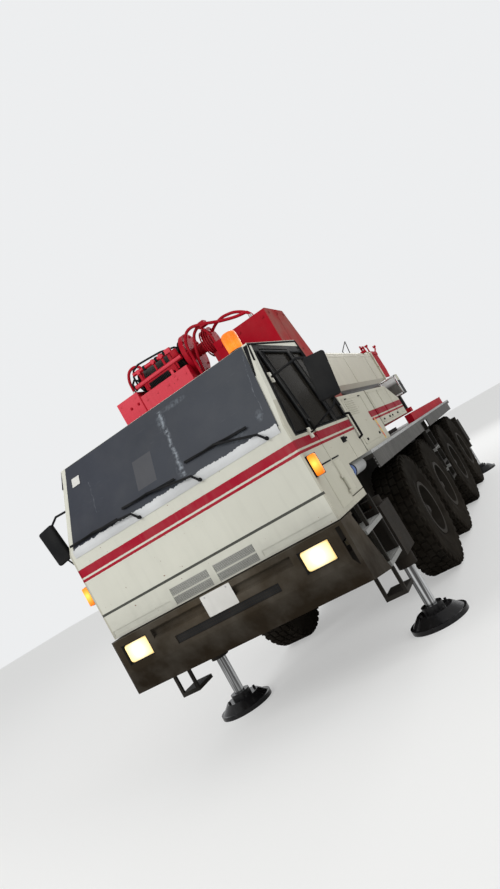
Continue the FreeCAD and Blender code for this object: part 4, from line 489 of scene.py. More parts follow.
# %% [markdown]
# ## Finishes that change with place
# A jack's node holds a chromed rod and a black cast pad. One material can show both when
# the height decides, and dark vertical streaks on the rod are a painted reflection. In the
# same way the tail is red paint whose left flank has gone dull with oil and dust, the
# winch's front is painted paler and pinker as painted light, and what stands inside the
# operator's cab is dark.

# %% Finishes that change with place
PAD_TOP = 0.182


def rod_with_painted_reflection_and_pad(tree, parts, spot, paint):
    """Bright chrome with dark vertical streaks as a painted reflection, and a black pad below."""
    # Painted reflection: dark vertical bands on the chrome, drawn as stretched noise.
    runs = fade(tree, noise(tree, spot, 0.030, 2.0, (1, 1, 40)), 0.42, 0.60)
    paint = blend(tree, runs, (0.085, 0.085, 0.085), paint)
    return blend(tree, below(tree, parts.outputs["Z"], PAD_TOP), paint, (0.010, 0.010, 0.011))


jack_finish = finish("jack_rod_and_pad", (0.62, 0.63, 0.64), rough=0.20, mottle=0.05, streaks=0.04, mud=0.10,
                     mud_top=0.30, dust=0.01, grain=0.00003, pattern=rod_with_painted_reflection_and_pad)
jack_tree = jack_finish.node_tree
jack_parts = add(jack_tree, "ShaderNodeSeparateXYZ", {0: own_place(jack_tree)})
jack_tree.links.new(above(jack_tree, jack_parts.outputs["Z"], PAD_TOP),
                    jack_tree.nodes["Principled BSDF"].inputs["Metallic"])


def dusty_side(tree, parts, spot, paint):
    """Duller, browner red on the tail's left flank, where oil and dust have settled."""
    flank = times(tree, fade(tree, parts.outputs["X"], 0.985, 0.9985),
                  fade(tree, noise(tree, spot, 0.40, 6.0), 0.20, 0.62), 0.75)
    return blend(tree, flank, paint, (0.25, 0.125, 0.105))


def dark_inside(tree, parts, spot, paint):
    """Dark grey for what stands inside the operator's cab, white for its walls."""
    x, y, z = (parts.outputs[axis] for axis in "XYZ")
    inside = times(tree, within(tree, x, -1.175, -0.700), within(tree, y, back(4.900), back(5.700)),
                   within(tree, z, 1.968, 3.100))
    return blend(tree, inside, paint, (0.030, 0.030, 0.032))


def painted_light_on_front(tree, parts, spot, paint):
    """Painted light: paler, pinker red on the faces that look forwards and up towards the bright sky."""
    facing = times(tree, below(tree, parts.outputs["Y"], back(2.204)), below(tree, parts.outputs["X"], -0.185), 0.85)
    return blend(tree, facing, paint, (0.67, 0.066, 0.092))


tail_red = finish("dusty_tail_red", (0.43, 0.010, 0.022), rough=0.50, gloss=0.0, mottle=0.12, streaks=0.14,
                  mud=0.0, dust=0.03, chips=0.010, chip_colour=(0.36, 0.08, 0.08), pattern=dusty_side)
operator_white = finish("operator_cab_white", (0.63, 0.610, 0.520), gloss=0.10, mottle=0.05, streaks=0.12,
                        mud=0.0, dust=0.10, chips=0.008, pattern=dark_inside)
# The winch's front faces are painted paler and pinker: painted light.
winch_red = finish("winch_red_with_painted_front_light", (0.44, 0.005, 0.018), gloss=0.06, mottle=0.12, streaks=0.12, mud=0.0,
                   dust=0.03, chips=0.012, chip_colour=(0.16, 0.03, 0.03), pattern=painted_light_on_front)

FINISH_OF = {
    "chassis_frame": dark_steel, "deck": grey_paint, "deck_bars": red_paint, "axles": dark_steel,
    "cab_shell": white_striped, "cab_glass": dark_glass, "cab_interior": fabric, "bumper": bumper_grey,
    "lamps": amber_lens, "mirrors": black_plastic, "steps": step_steel, "engine_cover": white_striped,
    "engine_block": cast_iron, "turntable": red_paint, "side_housings": white_striped, "counterweight": tail_red,
    "winch_frame": winch_red, "winch_drum": dark_steel, "boom_base": boom_white, "boom_second": boom_white,
    "boom_third": boom_white, "boom_tip": red_paint, "hook_block": red_paint, "luff_barrel": dark_steel,
    "luff_rod": chrome, "operator_cab": operator_white, "operator_glass": dark_glass,
    "operator_door": white_plain,
}
for side, sign in SIDES:
    FINISH_OF["door_" + side], FINISH_OF["door_glass_" + side] = white_striped, dark_glass
    for end in ("front", "rear"):
        FINISH_OF["beam_%s_%s" % (end, side)], FINISH_OF["jack_%s_%s" % (end, side)] = dark_steel, jack_finish
    for number in (1, 2, 3, 4):
        FINISH_OF["tyre_%d_%s" % (number, side)], FINISH_OF["rim_%d_%s" % (number, side)] = rubber, rim_paint
        if number < 3:
            FINISH_OF["knuckle_%d_%s" % (number, side)] = cast_iron
for node_name, node_object in nodes.items():
    for place_in_list in node_object.material_slots:
        place_in_list.material = FINISH_OF[node_name]
print("dressed nodes:", len(FINISH_OF), "of", len(nodes))

# %% [markdown]
# ## Tools for making pieces
# Every new piece is one bmesh. It starts from Blender's own primitives, which operators
# then bevel, spin, inset or bridge, and it becomes an object only when it is finished.
# Its place stays in its mesh, so the object itself sits at the origin like the frame's
# own nodes.

# %% Piece helpers
SLOPE_RUN, SLOPE_RISE = 0.42, 0.82
SCREEN_OUT = Vector((0, -SLOPE_RISE, SLOPE_RUN)).normalized()
SCREEN_UP = Vector((0, SLOPE_RUN, SLOPE_RISE)).normalized()
WALL, WALL_LEAN = 1.25, 0.075 / 0.89


def fresh(count):
    """That many empty shapes."""
    return [bmesh.new() for unused in range(count)]


def at(x, distance, height):
    """A place given across, back from the cab's front and upwards."""
    return Vector((x, back(distance), height))


def piece(name, shape, finish_used, body, hides=(), angle=38):
    """Turns a finished shape into an object that rides a body, smooth between its sharp edges."""
    data = bpy.data.meshes.new(name)
    shape.to_mesh(data)
    shape.free()
    data.materials.append(finish_used)
    data.polygons.foreach_set("use_smooth", [True] * len(data.polygons))
    data.set_sharp_from_angle(angle=math.radians(angle))
    made = bpy.data.objects.new(name, data)
    bpy.context.scene.collection.objects.link(made)
    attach(made, body)
    if hides:
        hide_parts(*hides)
    return made


def trim(name, shape, body="root", hides=()):
    """A piece of black plastic or rubber."""
    return piece(name, shape, black_plastic, body, hides)


def block(shape, low, high, rounding=0.0, segments=2, turn=None):
    """A box between two corners with rounded edges; turn is a matrix applied about its middle."""
    low, high = Vector(low), Vector(high)
    corners = bmesh.ops.create_cube(shape, size=1.0)["verts"]
    bmesh.ops.scale(shape, vec=high - low, verts=corners)
    if rounding:
        edges = list({edge for corner in corners for edge in corner.link_edges})
        rounded = bmesh.ops.bevel(shape, geom=edges, offset=rounding, segments=segments, profile=0.5,
                                  affect="EDGES", material=-1)
        corners = list({corner for face in rounded["faces"] for corner in face.verts})
    matrix = Matrix.Translation((low + high) / 2) @ (turn.to_4x4() if turn else Matrix.Identity(4))
    bmesh.ops.transform(shape, matrix=matrix, verts=corners)
    return corners


def slab(shape, xs, distances, heights, rounding=0.0, segments=2):
    """A box given by its span across, its span back from the cab's front and its span upwards."""
    low, high = zip(sorted(xs), map(back, distances), heights)
    block(shape, low, high, rounding, segments)


def rim(shape, xs, distances, heights, edges, rounding, segments=2, run=0):
    """Four bars round a rectangle that runs across, or backwards when run is 1; edges are their widths."""
    for axis, edge in zip((2, run), edges):
        for far_end in (False, True):
            spans = [xs, distances, heights]
            low, high = spans[axis]
            spans[axis] = (high - edge, high) if far_end else (low, low + edge)
            slab(shape, *spans, rounding, segments)


def bar(shape, start, end, radius, far_radius=None, sides=20):
    """A round bar, or a cone, between two points."""
    start, end = Vector(start), Vector(end)
    made = bmesh.ops.create_cone(shape, cap_ends=True, segments=sides, radius1=radius,
                                 radius2=radius if far_radius is None else far_radius, depth=(end - start).length)
    aim = (end - start).to_track_quat("Z", "Y").to_matrix().to_4x4()
    bmesh.ops.transform(shape, matrix=Matrix.Translation((start + end) / 2) @ aim, verts=made["verts"])


def pipe(shape, points, radius, sides=14, closed=False):
    """A bent pipe: a bar for each run and a ball in each bend."""
    points = [Vector(point) for point in points]
    if closed:
        points += points[:2]
    for start, end in zip(points, points[1:]):
        bar(shape, start, end, radius, sides=sides)
    for bend in points[1:-1]:
        ball = bmesh.ops.create_uvsphere(shape, u_segments=sides, v_segments=8, radius=radius)
        bmesh.ops.translate(shape, vec=bend, verts=ball["verts"])


def lathe(shape, profile, middle, axis="X", steps=48, closed=False):
    """Spins a profile of (place along the axis, radius) pairs about an axis through the middle."""
    middle = Vector(middle)
    along = Vector([1.0 if name == axis else 0.0 for name in "XYZ"])
    outward = Vector((0, 0, 1)) if axis == "X" else Vector((1, 0, 0))
    corners = [shape.verts.new(middle + along * place + outward * radius) for place, radius in profile]
    edges = [shape.edges.new(pair) for pair in zip(corners, corners[1:])]
    if closed:
        edges.append(shape.edges.new((corners[-1], corners[0])))
    bmesh.ops.spin(shape, geom=corners + edges, cent=middle, axis=along, angle=2 * math.pi, steps=steps,
                   use_merge=True)
    bmesh.ops.remove_doubles(shape, verts=shape.verts, dist=1e-5)
    bmesh.ops.recalc_face_normals(shape, faces=shape.faces)


def bolt(shape, place, out, radius=0.012, height=0.010):
    """A hexagon bolt head on a washer, standing out along a direction."""
    place, out = Vector(place), Vector(out)
    bar(shape, place, place + out * height * 0.25, radius * 1.45, sides=16)
    bar(shape, place, place + out * height, radius, sides=6)


def bolts(shape, xs, distances, heights, out, radius, height):
    """A bolt at every crossing of the given places across, backwards and upwards."""
    for x in xs:
        for distance in distances:
            for high in heights:
                bolt(shape, at(x, distance, high), out, radius, height)


def circle(middle, radius, count, start=0.0):
    """Places spread evenly on a circle about an axis along x."""
    turns = [(step + start) * 2 * math.pi / count for step in range(count)]
    return [Vector(middle) + radius * Vector((0, math.cos(turn), math.sin(turn))) for turn in turns]


def on_side(sign, distance, height, proud=0.0):
    """A place on the cab's side, which leans inwards above the waist."""
    return at(sign * (WALL - max(0.0, height - WAIST) * WALL_LEAN + proud), distance, height)


def on_screen(x, height, proud=0.0):
    """A place on the windscreen's slope, standing proud of it along its normal."""
    return at(x, SLOPE_RUN * (height - WAIST) / SLOPE_RISE, height) + SCREEN_OUT * proud


def sheet(name, cells, lay, thickness, finish_used, angle=38):
    """A thin sheet: a grid laid out by a rule that takes -0.5 to 0.5 across and 0 to 1 upwards."""
    shape = bmesh.new()
    bmesh.ops.create_grid(shape, x_segments=cells[0], y_segments=cells[1], size=0.5)
    for corner in shape.verts:
        corner.co = lay(corner.co.x, corner.co.y + 0.5)
    bmesh.ops.recalc_face_normals(shape, faces=shape.faces)
    bmesh.ops.solidify(shape, geom=shape.faces[:], thickness=thickness)
    piece(name, shape, finish_used, "root", angle=angle)


print("helpers ready")

# %% [markdown]
# ## Windscreen film and sill
# The dark film is a sheet stuck over the whole windscreen. It starts as a flat grid whose
# points are laid on the sloping front, with ripples of a few millimetres, and a thin
# thickness is added. The silver strip under it is torn along its upper edge.

# %% Windscreen film and sill
TEARS = ((0.014, 14), (0.010, 55), (0.007, 130))


def film_rule(x, rise):
    """Over the whole windscreen, which narrows upwards, with slow ripples."""
    across, height = 2 * x * (1.194 - 0.070 * rise) + 0.004, 2.292 + 0.800 * rise
    ripple = 0.0035 * lumps.noise(Vector((across * 2.3, height * 3.1, 0.4)))
    return on_screen(across, height, 0.008 + ripple)


def sill_rule(x, rise):
    """From the cab's front up over the film's lower edge, torn along its top row."""
    across = x * 2.38
    torn = sum(size * lumps.noise(Vector((across * often, 0.3, 0.0))) for size, often in TEARS)
    rows = (at(across, -0.004, 2.238), at(across, -0.013, 2.274),
            on_screen(across, 2.292, 0.0150), on_screen(across, 2.316 + torn, 0.0160))
    return rows[round(rise * 3)]


sheet("windscreen_film", (70, 40), film_rule, 0.002, screen_film)
sheet("windscreen_sill_strip", (400, 3), sill_rule, 0.0015, silver_strip, 60)
sheet("screen_edge_rubber", (2, 8), lambda x, rise: on_screen(
    1.160 + x * (0.012 + 0.030 * rise), 2.780 + rise * 0.300, 0.003), 0.001, black_plastic)
sheet("blank_sticker", (8, 6), lambda x, rise: on_screen(
    -1.005 + x * 0.10, 2.8625 + rise * 0.085, 0.0145), 0.001, plate_white)
print("film, sill strip and a blank sticker")

# %% [markdown]
# ## Wipers
# Three wipers rest low on the film, and each is a little higher than the one to its
# right. The blade lies on the slope, so its turn is built from the slope's own three
# directions.

# %% Wipers
WIPERS = (
    # name, spindle's x, blade's ends in x, blade's heights at those ends
    ("wiper_right", -0.357, (-1.205, -0.590), (2.352, 2.340)),
    ("wiper_middle", 0.351, (-0.514, 0.114), (2.400, 2.372)),
    ("wiper_left", 1.063, (0.257, 0.930), (2.452, 2.420)),
)
for wiper_name, spindle_x, ends, heights in WIPERS:
    wiper = bmesh.new()
    bar(wiper, at(spindle_x, 0.002, 2.258), at(spindle_x, -0.038, 2.258), 0.020, 0.013)
    middle = (sum(ends) / 2, sum(heights) / 2)
    hold = on_screen(*middle, 0.046)
    pipe(wiper, (at(spindle_x, -0.030, 2.258), on_screen(spindle_x - 0.05, 2.300, 0.050), hold), 0.0105)
    first, last = (on_screen(*end, 0.026) for end in zip(ends, heights))
    for share in (0.16, 0.84):
        bar(wiper, hold, first.lerp(last, share), 0.008, 0.005, sides=10)
    turn = Matrix(((last - first).normalized(), SCREEN_OUT, SCREEN_UP)).transposed()
    for proud, half_width, rounding in ((0.026, 0.012, 0.003), (0.018, 0.003, 0.001)):
        centre, half = on_screen(*middle, proud), Vector(((last - first).length / 2, 0.005, half_width))
        block(wiper, centre - half, centre + half, rounding, turn=turn)
    trim(wiper_name, wiper)
print("wipers:", len(WIPERS))

# %% [markdown]
# ## Grilles and the bumper's mesh
# The four grilles in the cab's front are perforated steel. A grid of cells is inset, the
# inner faces are deleted and the rest gets a thickness, which leaves real holes with the
# dark pocket behind them. The mesh low in the bumper is made the same way with larger
# cells.

# %% Grilles


def lattice(shape, x_span, z_span, y, cells, wall, depth):
    """A perforated plate facing the front: a grid whose cells are inset and opened."""
    grid = bmesh.ops.create_grid(shape, x_segments=cells[0], y_segments=cells[1], size=0.5)
    holes = list({face for corner in grid["verts"] for face in corner.link_faces})
    width, height = x_span[1] - x_span[0], z_span[1] - z_span[0]
    place = Matrix.Translation((sum(x_span) / 2, y, sum(z_span) / 2))
    flat = Matrix(((width, 0, 0, 0), (0, 0, 1, 0), (0, height, 0, 0), (0, 0, 0, 1)))
    bmesh.ops.transform(shape, matrix=place @ flat, verts=grid["verts"])
    bmesh.ops.inset_individual(shape, faces=holes, thickness=wall / 2, depth=0.0)
    bmesh.ops.delete(shape, geom=holes, context="FACES_ONLY")
    rims = [face for face in shape.faces if face.calc_area() > 0 and abs(face.calc_center_median().y - y) < 1e-6]
    bmesh.ops.recalc_face_normals(shape, faces=rims)
    bmesh.ops.solidify(shape, geom=rims, thickness=depth)


grilles, backing, mesh_insert, mesh_back = fresh(4)
for sign in (1, -1):
    for low in (1.418, 1.500):
        x_span = sorted((sign * 0.037, sign * 0.463))
        lattice(grilles, x_span, (low + 0.002, low + 0.070), back(0.003), (40, 6), 0.0056, 0.002)
        slab(backing, x_span, (0.011, 0.0135), (low + 0.002, low + 0.070))
        for rail_low in (low + 0.001, low + 0.066):
            slab(grilles, x_span, (0.0005, 0.006), (rail_low, rail_low + 0.005), 0.001)
piece("cab_grilles", grilles, grille_grey, "root")
trim("grille_backings", backing)
lattice(mesh_insert, (-0.552, 0.552), (1.129, 1.196), back(-0.122), (46, 3), 0.006, 0.003)
piece("bumper_mesh", mesh_insert, dark_steel, "root")
slab(mesh_back, (-0.555, 0.555), (-0.1205, -0.1185), (1.127, 1.198))
trim("bumper_mesh_backing", mesh_back)
print("perforated plates: 5")

# %% [markdown]
# ## Lamps
# A headlamp is a rounded lens in a dark surround. The corner indicators and the roof
# beacon are amber. The beacon's dome is turned on a lathe, and its ribs come from the
# lens material's bump.

# %% Lamps
headlamps, surrounds, indicators, holders, dome, dome_base = fresh(6)
for sign in (1, -1):
    x = sign * 0.975
    slab(headlamps, (x - 0.140, x + 0.140), (-0.124, -0.045), (1.152, 1.328), 0.030, 4)
    rim(surrounds, (x - 0.150, x + 0.150), (-0.129, -0.105), (1.145, 1.335), (0.0085, 0.0095), 0.002)
    slab(indicators, (sign * 1.262, sign * 1.330), (0.010, 0.066), (1.783, 1.967), 0.012, 3)
    slab(holders, (sign * 1.250, sign * 1.3265), (0.050, 0.080), (1.780, 1.970), 0.004)
    slab(holders, (sign * 1.250, sign * 1.263), (0.012, 0.080), (1.780, 1.970), 0.002)
lathe(dome, ((-0.045, 0.0), (-0.045, 0.074), (0.060, 0.078), (0.110, 0.077), (0.130, 0.070), (0.140, 0.055),
             (0.146, 0.025), (0.147, 0.0)), BEACON, "Z")
lathe(dome_base, ((-0.083, 0.0), (-0.083, 0.070), (-0.070, 0.076), (-0.048, 0.076), (-0.040, 0.068),
                  (-0.036, 0.0)), BEACON, "Z")
piece("headlamp_lenses", headlamps, headlamp_lens, "root", hides=("lamps",))
trim("headlamp_surrounds", surrounds)
piece("indicator_lenses", indicators, amber_lens, "root")
trim("indicator_holders", holders)
piece("beacon_dome", dome, amber_lens, "root")
trim("beacon_base", dome_base)
print("lit lamps: 5")

# %% [markdown]
# ## Mirrors
# Each mirror head is a thick rounded shell with its glass facing backwards, held by two
# bent tubes that end in white brackets on the cab's pillar.

# %% Mirrors
MIRROR_TURN, MIRROR_X, POST = math.radians(8), 1.628, 0.408
MIRROR_PARTS = (
    # half sizes, distance behind the head's middle, rounding, segments; the last is the glass
    ((0.098, 0.031, 0.199), 0.0, 0.026, 4),
    ((0.090, 0.008, 0.191), 0.0285, 0.006, 2),
    ((0.082, 0.0012, 0.181), 0.0370, 0.001, 1),
)
BRACKETS = ((0.430, 2.726), (0.474, 2.140))
for side, sign in SIDES:
    head, stays, pane, brackets = fresh(4)
    x = sign * MIRROR_X
    turn = Matrix.Rotation(sign * MIRROR_TURN, 3, "Y")
    for target, (half, behind, rounding, segments) in zip((head, head, pane), MIRROR_PARTS):
        centre = at(x, 0.360 + behind, 2.491)
        block(target, centre - Vector(half), centre + Vector(half), rounding, segments, turn)
    high_root, low_root = (on_side(sign, *bracket, -0.004) for bracket in BRACKETS)
    high_run = (at(sign * across, POST, high) for across, high in ((1.500, 2.742), (1.590, 2.690), (1.650, 2.560)))
    low_run = (at(sign * across, POST, high) for across, high in ((1.650, 2.560), (1.618, 2.300), (1.580, 2.235)))
    pipe(stays, (high_root, high_root + Vector((sign * 0.05, 0, 0.004)), *high_run), 0.0115)
    pipe(stays, (*low_run, low_root + Vector((sign * 0.04, 0, 0)), low_root), 0.0085)
    for high in (2.380, 2.600):
        slab(stays, (x - 0.026, x + 0.026), (0.385, 0.421), (high - 0.016, high + 0.016), 0.004)
    for distance, high in BRACKETS:
        xs = (on_side(sign, distance, high - 0.050, -0.006).x, on_side(sign, distance, high + 0.050, 0.014).x)
        slab(brackets, xs, (distance - 0.040, distance + 0.040), (high - 0.050, high + 0.050), 0.006)
        for rise in (-0.034, 0.034):
            bolt(brackets, on_side(sign, distance - 0.024, high + rise, 0.012), (sign, 0, 0), 0.007, 0.006)
    trim("mirror_head_" + side, head, hides=("mirrors",))
    trim("mirror_stays_" + side, stays)
    piece("mirror_pane_" + side, pane, mirror_glass, "root")
    piece("mirror_brackets_" + side, brackets, white_plain, "root")
print("mirrors: 2")

# %% [markdown]
# ## Window rubbers, handles and rain rails
# Black rubbers frame the side windows, and the door's own frame rides the door. An
# upright grab handle stands behind each door, and a thin rail leads the rain off the
# roof.

# %% Window rubbers, handles and the roof's rain rails
LOW, TOP = 2.180, 3.010
DOOR_PANE = ((0.680, LOW), (1.390, LOW), (1.390, WAIST), (1.390, TOP), (0.680, TOP), (0.680, WAIST))
FRONT_PANE = ((0.129, LOW), (0.560, LOW), (0.560, WAIST), (0.560, TOP), (0.494, TOP), (0.180, WAIST))
REAR_PANE = ((1.510, LOW), (1.870, LOW), (1.870, WAIST), (1.870, TOP), (1.510, TOP), (1.510, WAIST))
RAIL = ((0.330, 2.915), (0.425, 3.085), (1.915, 3.150), (1.915, 2.300))
for side, sign in SIDES:
    frames, door_frame, rails, grab, latch = fresh(5)
    for target, corners in ((door_frame, DOOR_PANE), (frames, FRONT_PANE), (frames, REAR_PANE)):
        pipe(target, [on_side(sign, *corner, -0.002) for corner in corners], 0.0095, 10, closed=True)
    pipe(rails, [on_side(sign, *corner, 0.002) for corner in RAIL], 0.010, 10)
    pipe(grab, [at(sign * across, 1.905, high) for across, high in (
        (1.250, 1.900), (1.295, 1.915), (1.295, 2.185), (1.250, 2.200))], 0.0125)
    slab(latch, (sign * 1.249, sign * 1.256), (1.255, 1.400), (1.930, 1.990), 0.002)
    slab(latch, (sign * 1.254, sign * 1.278), (1.285, 1.395), (1.952, 1.976), 0.006, 3)
    bar(latch, at(sign * 1.249, 1.272, 1.960), at(sign * 1.268, 1.272, 1.960), 0.012)
    trim("window_rubbers_" + side, frames)
    trim("door_rubbers_" + side, door_frame, "door_" + side)
    trim("rain_rail_" + side, rails)
    trim("grab_handle_" + side, grab)
    trim("door_latch_" + side, latch, "door_" + side)
print("rubbers, handles and rain rails on both sides")

# %% [markdown]
# ## Padded seats
# The seats are foam in woven covers. A stiff block would look dead, so each cushion starts
# as a slightly small rounded block, is remeshed into small even faces and blown up by
# Blender's cloth simulation, with its pull of gravity off. How far a point may move is
# capped, so the cushion keeps its size. Afterwards two sewn channels are pressed into it.
# One seat cushion and one back cushion are made, and the three seats share copies.

# %% Padded seats
CUSHION, BACKREST = (0.455, 0.475, 0.125), (0.445, 0.600, 0.100)
EVEN_FACE, PRESSURE, FRAMES, LARGEST_MOVE = 0.010, 4.0, 20, 0.014
CHANNELS, CHANNEL_WIDTH, CHANNEL_DEPTH = (-0.105, 0.105), 0.011, 0.010


def stuffed(name, size):
    """A cushion of that size about the origin, crowned by a cloth simulation, with sewn channels along y."""
    form = bmesh.new()
    half = Vector(size) / 2
    block(form, -half, half, 0.3 * size[2], 4)
    data = bpy.data.meshes.new(name)
    form.to_mesh(data)
    form.free()
    pad = bpy.data.objects.new(name, data)
    bpy.context.scene.collection.objects.link(pad)
    even = pad.modifiers.new("even_faces", "REMESH")
    even.mode, even.voxel_size = "VOXEL", EVEN_FACE
    graph = bpy.context.evaluated_depsgraph_get()
    pad.data = bpy.data.meshes.new_from_object(pad.evaluated_get(graph))
    pad.modifiers.clear()
    cloth = pad.modifiers.new("stuffing", "CLOTH")
    cloth.settings.use_pressure = True
    cloth.settings.uniform_pressure_force = PRESSURE
    cloth.settings.effector_weights.gravity = 0.0
    for frame_number in range(1, FRAMES + 1):
        bpy.context.scene.frame_set(frame_number)
    graph = bpy.context.evaluated_depsgraph_get()
    blown = [corner.co.copy() for corner in pad.evaluated_get(graph).data.vertices]
    for corner, reached in zip(pad.data.vertices, blown):
        move = reached - corner.co
        corner.co += move * min(1.0, LARGEST_MOVE / max(move.length, 1e-6))
    bpy.context.scene.frame_set(1)
    pad.modifiers.clear()
    made = bmesh.new()
    made.from_mesh(pad.data)
    bpy.data.objects.remove(pad)
    for corner in made.verts:
        if corner.co.z > 0:
            press = sum(math.exp(-((corner.co.x - place) / CHANNEL_WIDTH) ** 2) for place in CHANNELS)
            edge = min(1.0, (half.y - abs(corner.co.y)) / 0.05)
            corner.co.z -= CHANNEL_DEPTH * press * max(0.0, edge)
    bmesh.ops.smooth_vert(made, verts=made.verts, factor=0.3, use_axis_x=True, use_axis_y=True, use_axis_z=True)
    return made


cushion_form, backrest_form = stuffed("cushion", CUSHION), stuffed("backrest", BACKREST)
PADS = (
    # name, form, body, middle, lean in degrees, stretch, turned to face the rear
    ("driver_cushion", cushion_form, "root", (0.625, 0.885, 1.890), -4, (1, 1, 1), False),
    ("driver_backrest", backrest_form, "root", (0.625, 1.228, 2.235), 76, (1, 1, 1), False),
    ("mate_cushion", cushion_form, "root", (-0.625, 0.885, 1.890), -4, (1, 1, 1), False),
    ("mate_backrest", backrest_form, "root", (-0.625, 1.228, 2.235), 76, (1, 1, 1), False),
    ("operator_cushion", cushion_form, "superstructure", (-0.935, 5.375, 2.392), -2, (1, 1.20, 1.05), True),
    ("operator_backrest", backrest_form, "superstructure", (-0.935, 5.050, 2.680), 79, (1, 1.12, 1.35), True),
)
for name, form, body, middle, lean, stretch, rearwards in PADS:
    copied = form.copy()
    stand = Matrix.Translation(at(*middle)) @ Matrix.Rotation(math.pi if rearwards else 0.0, 4, "Z")
    stand = stand @ Matrix.Rotation(math.radians(lean), 4, "X") @ Matrix.Diagonal((*stretch, 1))
    bmesh.ops.transform(copied, matrix=stand, verts=copied.verts)
    piece(name, copied, fabric, body, angle=80)
print("padded pieces:", len(PADS), "faces each:", len(cushion_form.faces), len(backrest_form.faces))

# %% [markdown]
# ## Dashboard and steering wheel
# The dashboard is one folded shape across the cab, so its side view is drawn with a few
# points and extruded. The steering wheel's rim is a circle spun about the column, which
# the three spokes and a hub then fill.

# %% Dashboard and steering wheel
DASH_SIDE = ((0.052, 2.218), (0.170, 2.218), (0.300, 2.205), (0.398, 2.160), (0.400, 2.030), (0.112, 1.980),
             (0.112, 1.460), (0.052, 1.460))
DASH_HALF, SEAT_X = 1.145, 0.625
dash, dials, steering = fresh(3)
face = dash.faces.new([dash.verts.new(at(-DASH_HALF, *corner)) for corner in DASH_SIDE])
swept = bmesh.ops.extrude_face_region(dash, geom=[face])["geom"]
moved = [corner for corner in swept if isinstance(corner, bmesh.types.BMVert)]
bmesh.ops.translate(dash, vec=(2 * DASH_HALF, 0, 0), verts=moved)
bmesh.ops.recalc_face_normals(dash, faces=dash.faces)
bmesh.ops.bevel(dash, geom=dash.edges[:], offset=0.012, segments=3, profile=0.5, affect="EDGES", material=-1)
slab(dash, (0.380, 0.870), (0.300, 0.420), (2.190, 2.262), 0.020, 3)
for x in (SEAT_X, -SEAT_X):
    slab(dash, (x - 0.170, x + 0.170), (0.790, 1.000), (1.458, 1.800), 0.020, 3)
    slab(dash, (x - 0.200, x + 0.200), (0.720, 1.080), (1.795, 1.822), 0.006)
trim("dashboard_and_seat_posts", dash, hides=("cab_interior",))
for x, radius in ((0.450, 0.02604), (0.560, 0.031), (0.690, 0.031), (0.800, 0.02604)):
    bar(dials, at(x, 0.418, 2.222), at(x, 0.426, 2.223), radius, sides=28)
piece("dials", dials, plate_white, "root")

ring = [(0.016 * math.sin(step * math.pi / 6), 0.230 + 0.016 * math.cos(step * math.pi / 6)) for step in range(12)]
lathe(steering, ring, (0, 0, 0), "Z", 56, closed=True)
bar(steering, (0, 0, -0.060), (0, 0, 0.012), 0.045, 0.038, sides=28)
for turn in map(math.radians, (90, 210, 330)):
    bar(steering, (0, 0, -0.012), (0.226 * math.cos(turn), 0.226 * math.sin(turn), 0), 0.012, 0.009, sides=10)
bar(steering, (0, 0, -0.040), (0, 0, -0.230), 0.032)
stand = Matrix.Translation(at(SEAT_X, 0.544, 2.172)) @ Matrix.Rotation(math.radians(-28), 4, "X")
bmesh.ops.transform(steering, matrix=stand, verts=steering.verts)
trim("steering_wheel", steering)
print("dashboard, dials and steering wheel")

# %% [markdown]
# ## Blank plates
# The number plate and the sign by the door stay bare, with screws and weathered white
# paint, and the number plate has a pressed rim. The sign crosses the gap in front of the
# door, so it is two sheets, one on the pillar and one that swings with the door.

# %% Plates
number_plate, plate_screws = fresh(2)
slab(number_plate, (-0.154, 0.165), (-0.1305, -0.1285), (1.203, 1.393), 0.0003)
rim(number_plate, (-0.154, 0.165), (-0.1308, -0.129), (1.203, 1.393), (0.005, 0.005), 0.0002)
piece("blank_number_plate", number_plate, plate_white, "root")
bolts(plate_screws, (-0.110, 0.121), (-0.1304,), (1.372,), (0, -1, 0), 0.006, 0.0006)
piece("number_plate_screws", plate_screws, zinc, "root")

for end, body, first, last, low in (("front", "root", 0.225, 0.568, 1.450), ("rear", "door_left", 0.648, 0.860, 1.492)):
    sign_plate = bmesh.new()
    slab(sign_plate, (1.250, 1.253), (first, last), (low, 1.825), 0.001)
    bolts(sign_plate, (1.2525,), (first + 0.020, last - 0.020), (1.515, 1.805), (1, 0, 0), 0.006, 0.003)
    piece("sign_plate_" + end, sign_plate, sign_white, body)
for end, body, span in (("front", "root", (0.290, 0.598)), ("rear", "door_left", (0.642, 0.880))):
    strip = bmesh.new()
    slab(strip, (1.2495, 1.254), span, (1.842, 1.856), 0.001)
    trim("side_trim_" + end, strip, body)
print("blank plates: 2, trim strips: 2")

# %% [markdown]
# ## Tyres
# The tyres are wide cross-country ones. The carcass is a closed profile spun about the
# axle, and the tread is four staggered rows of rubber blocks with a sloping shoulder
# block outside each outer row. One block is bevelled once and then stamped round the
# wheel, so each has only a few faces.

# %% Tyres and wheel nuts
AXLES, AXLE_HIGH, TYRE_MIDDLE = (3.160, 4.820, 7.050, 8.800), 0.745, 1.085
CARCASS = [
    # place across, radius, from the bead to the crown
    (0.150, 0.319), (0.172, 0.322), (0.184, 0.352), (0.196, 0.366), (0.2005, 0.400), (0.2090, 0.455),
    (0.2145, 0.500), (0.2115, 0.506), (0.2115, 0.514), (0.2148, 0.520), (0.2130, 0.575), (0.2065, 0.630),
    (0.2080, 0.636), (0.2000, 0.668), (0.1880, 0.700), (0.1760, 0.716), (0.1600, 0.7225), (0.0800, 0.7265),
]
TREAD_ROWS, TREAD_HALF, TREAD_COUNT = ((0.132, 0.0), (0.047, 0.5), (-0.047, 0.0), (-0.132, 0.5)), 0.036, 38


def stamp(shape, low, high, rounding, turn):
    """A bevelled block stood on the wheel's rim and turned about the axle."""
    corners = block(shape, low, high, rounding, 1)
    bmesh.ops.transform(shape, matrix=Matrix.Rotation(turn, 4, "X"), verts=corners)


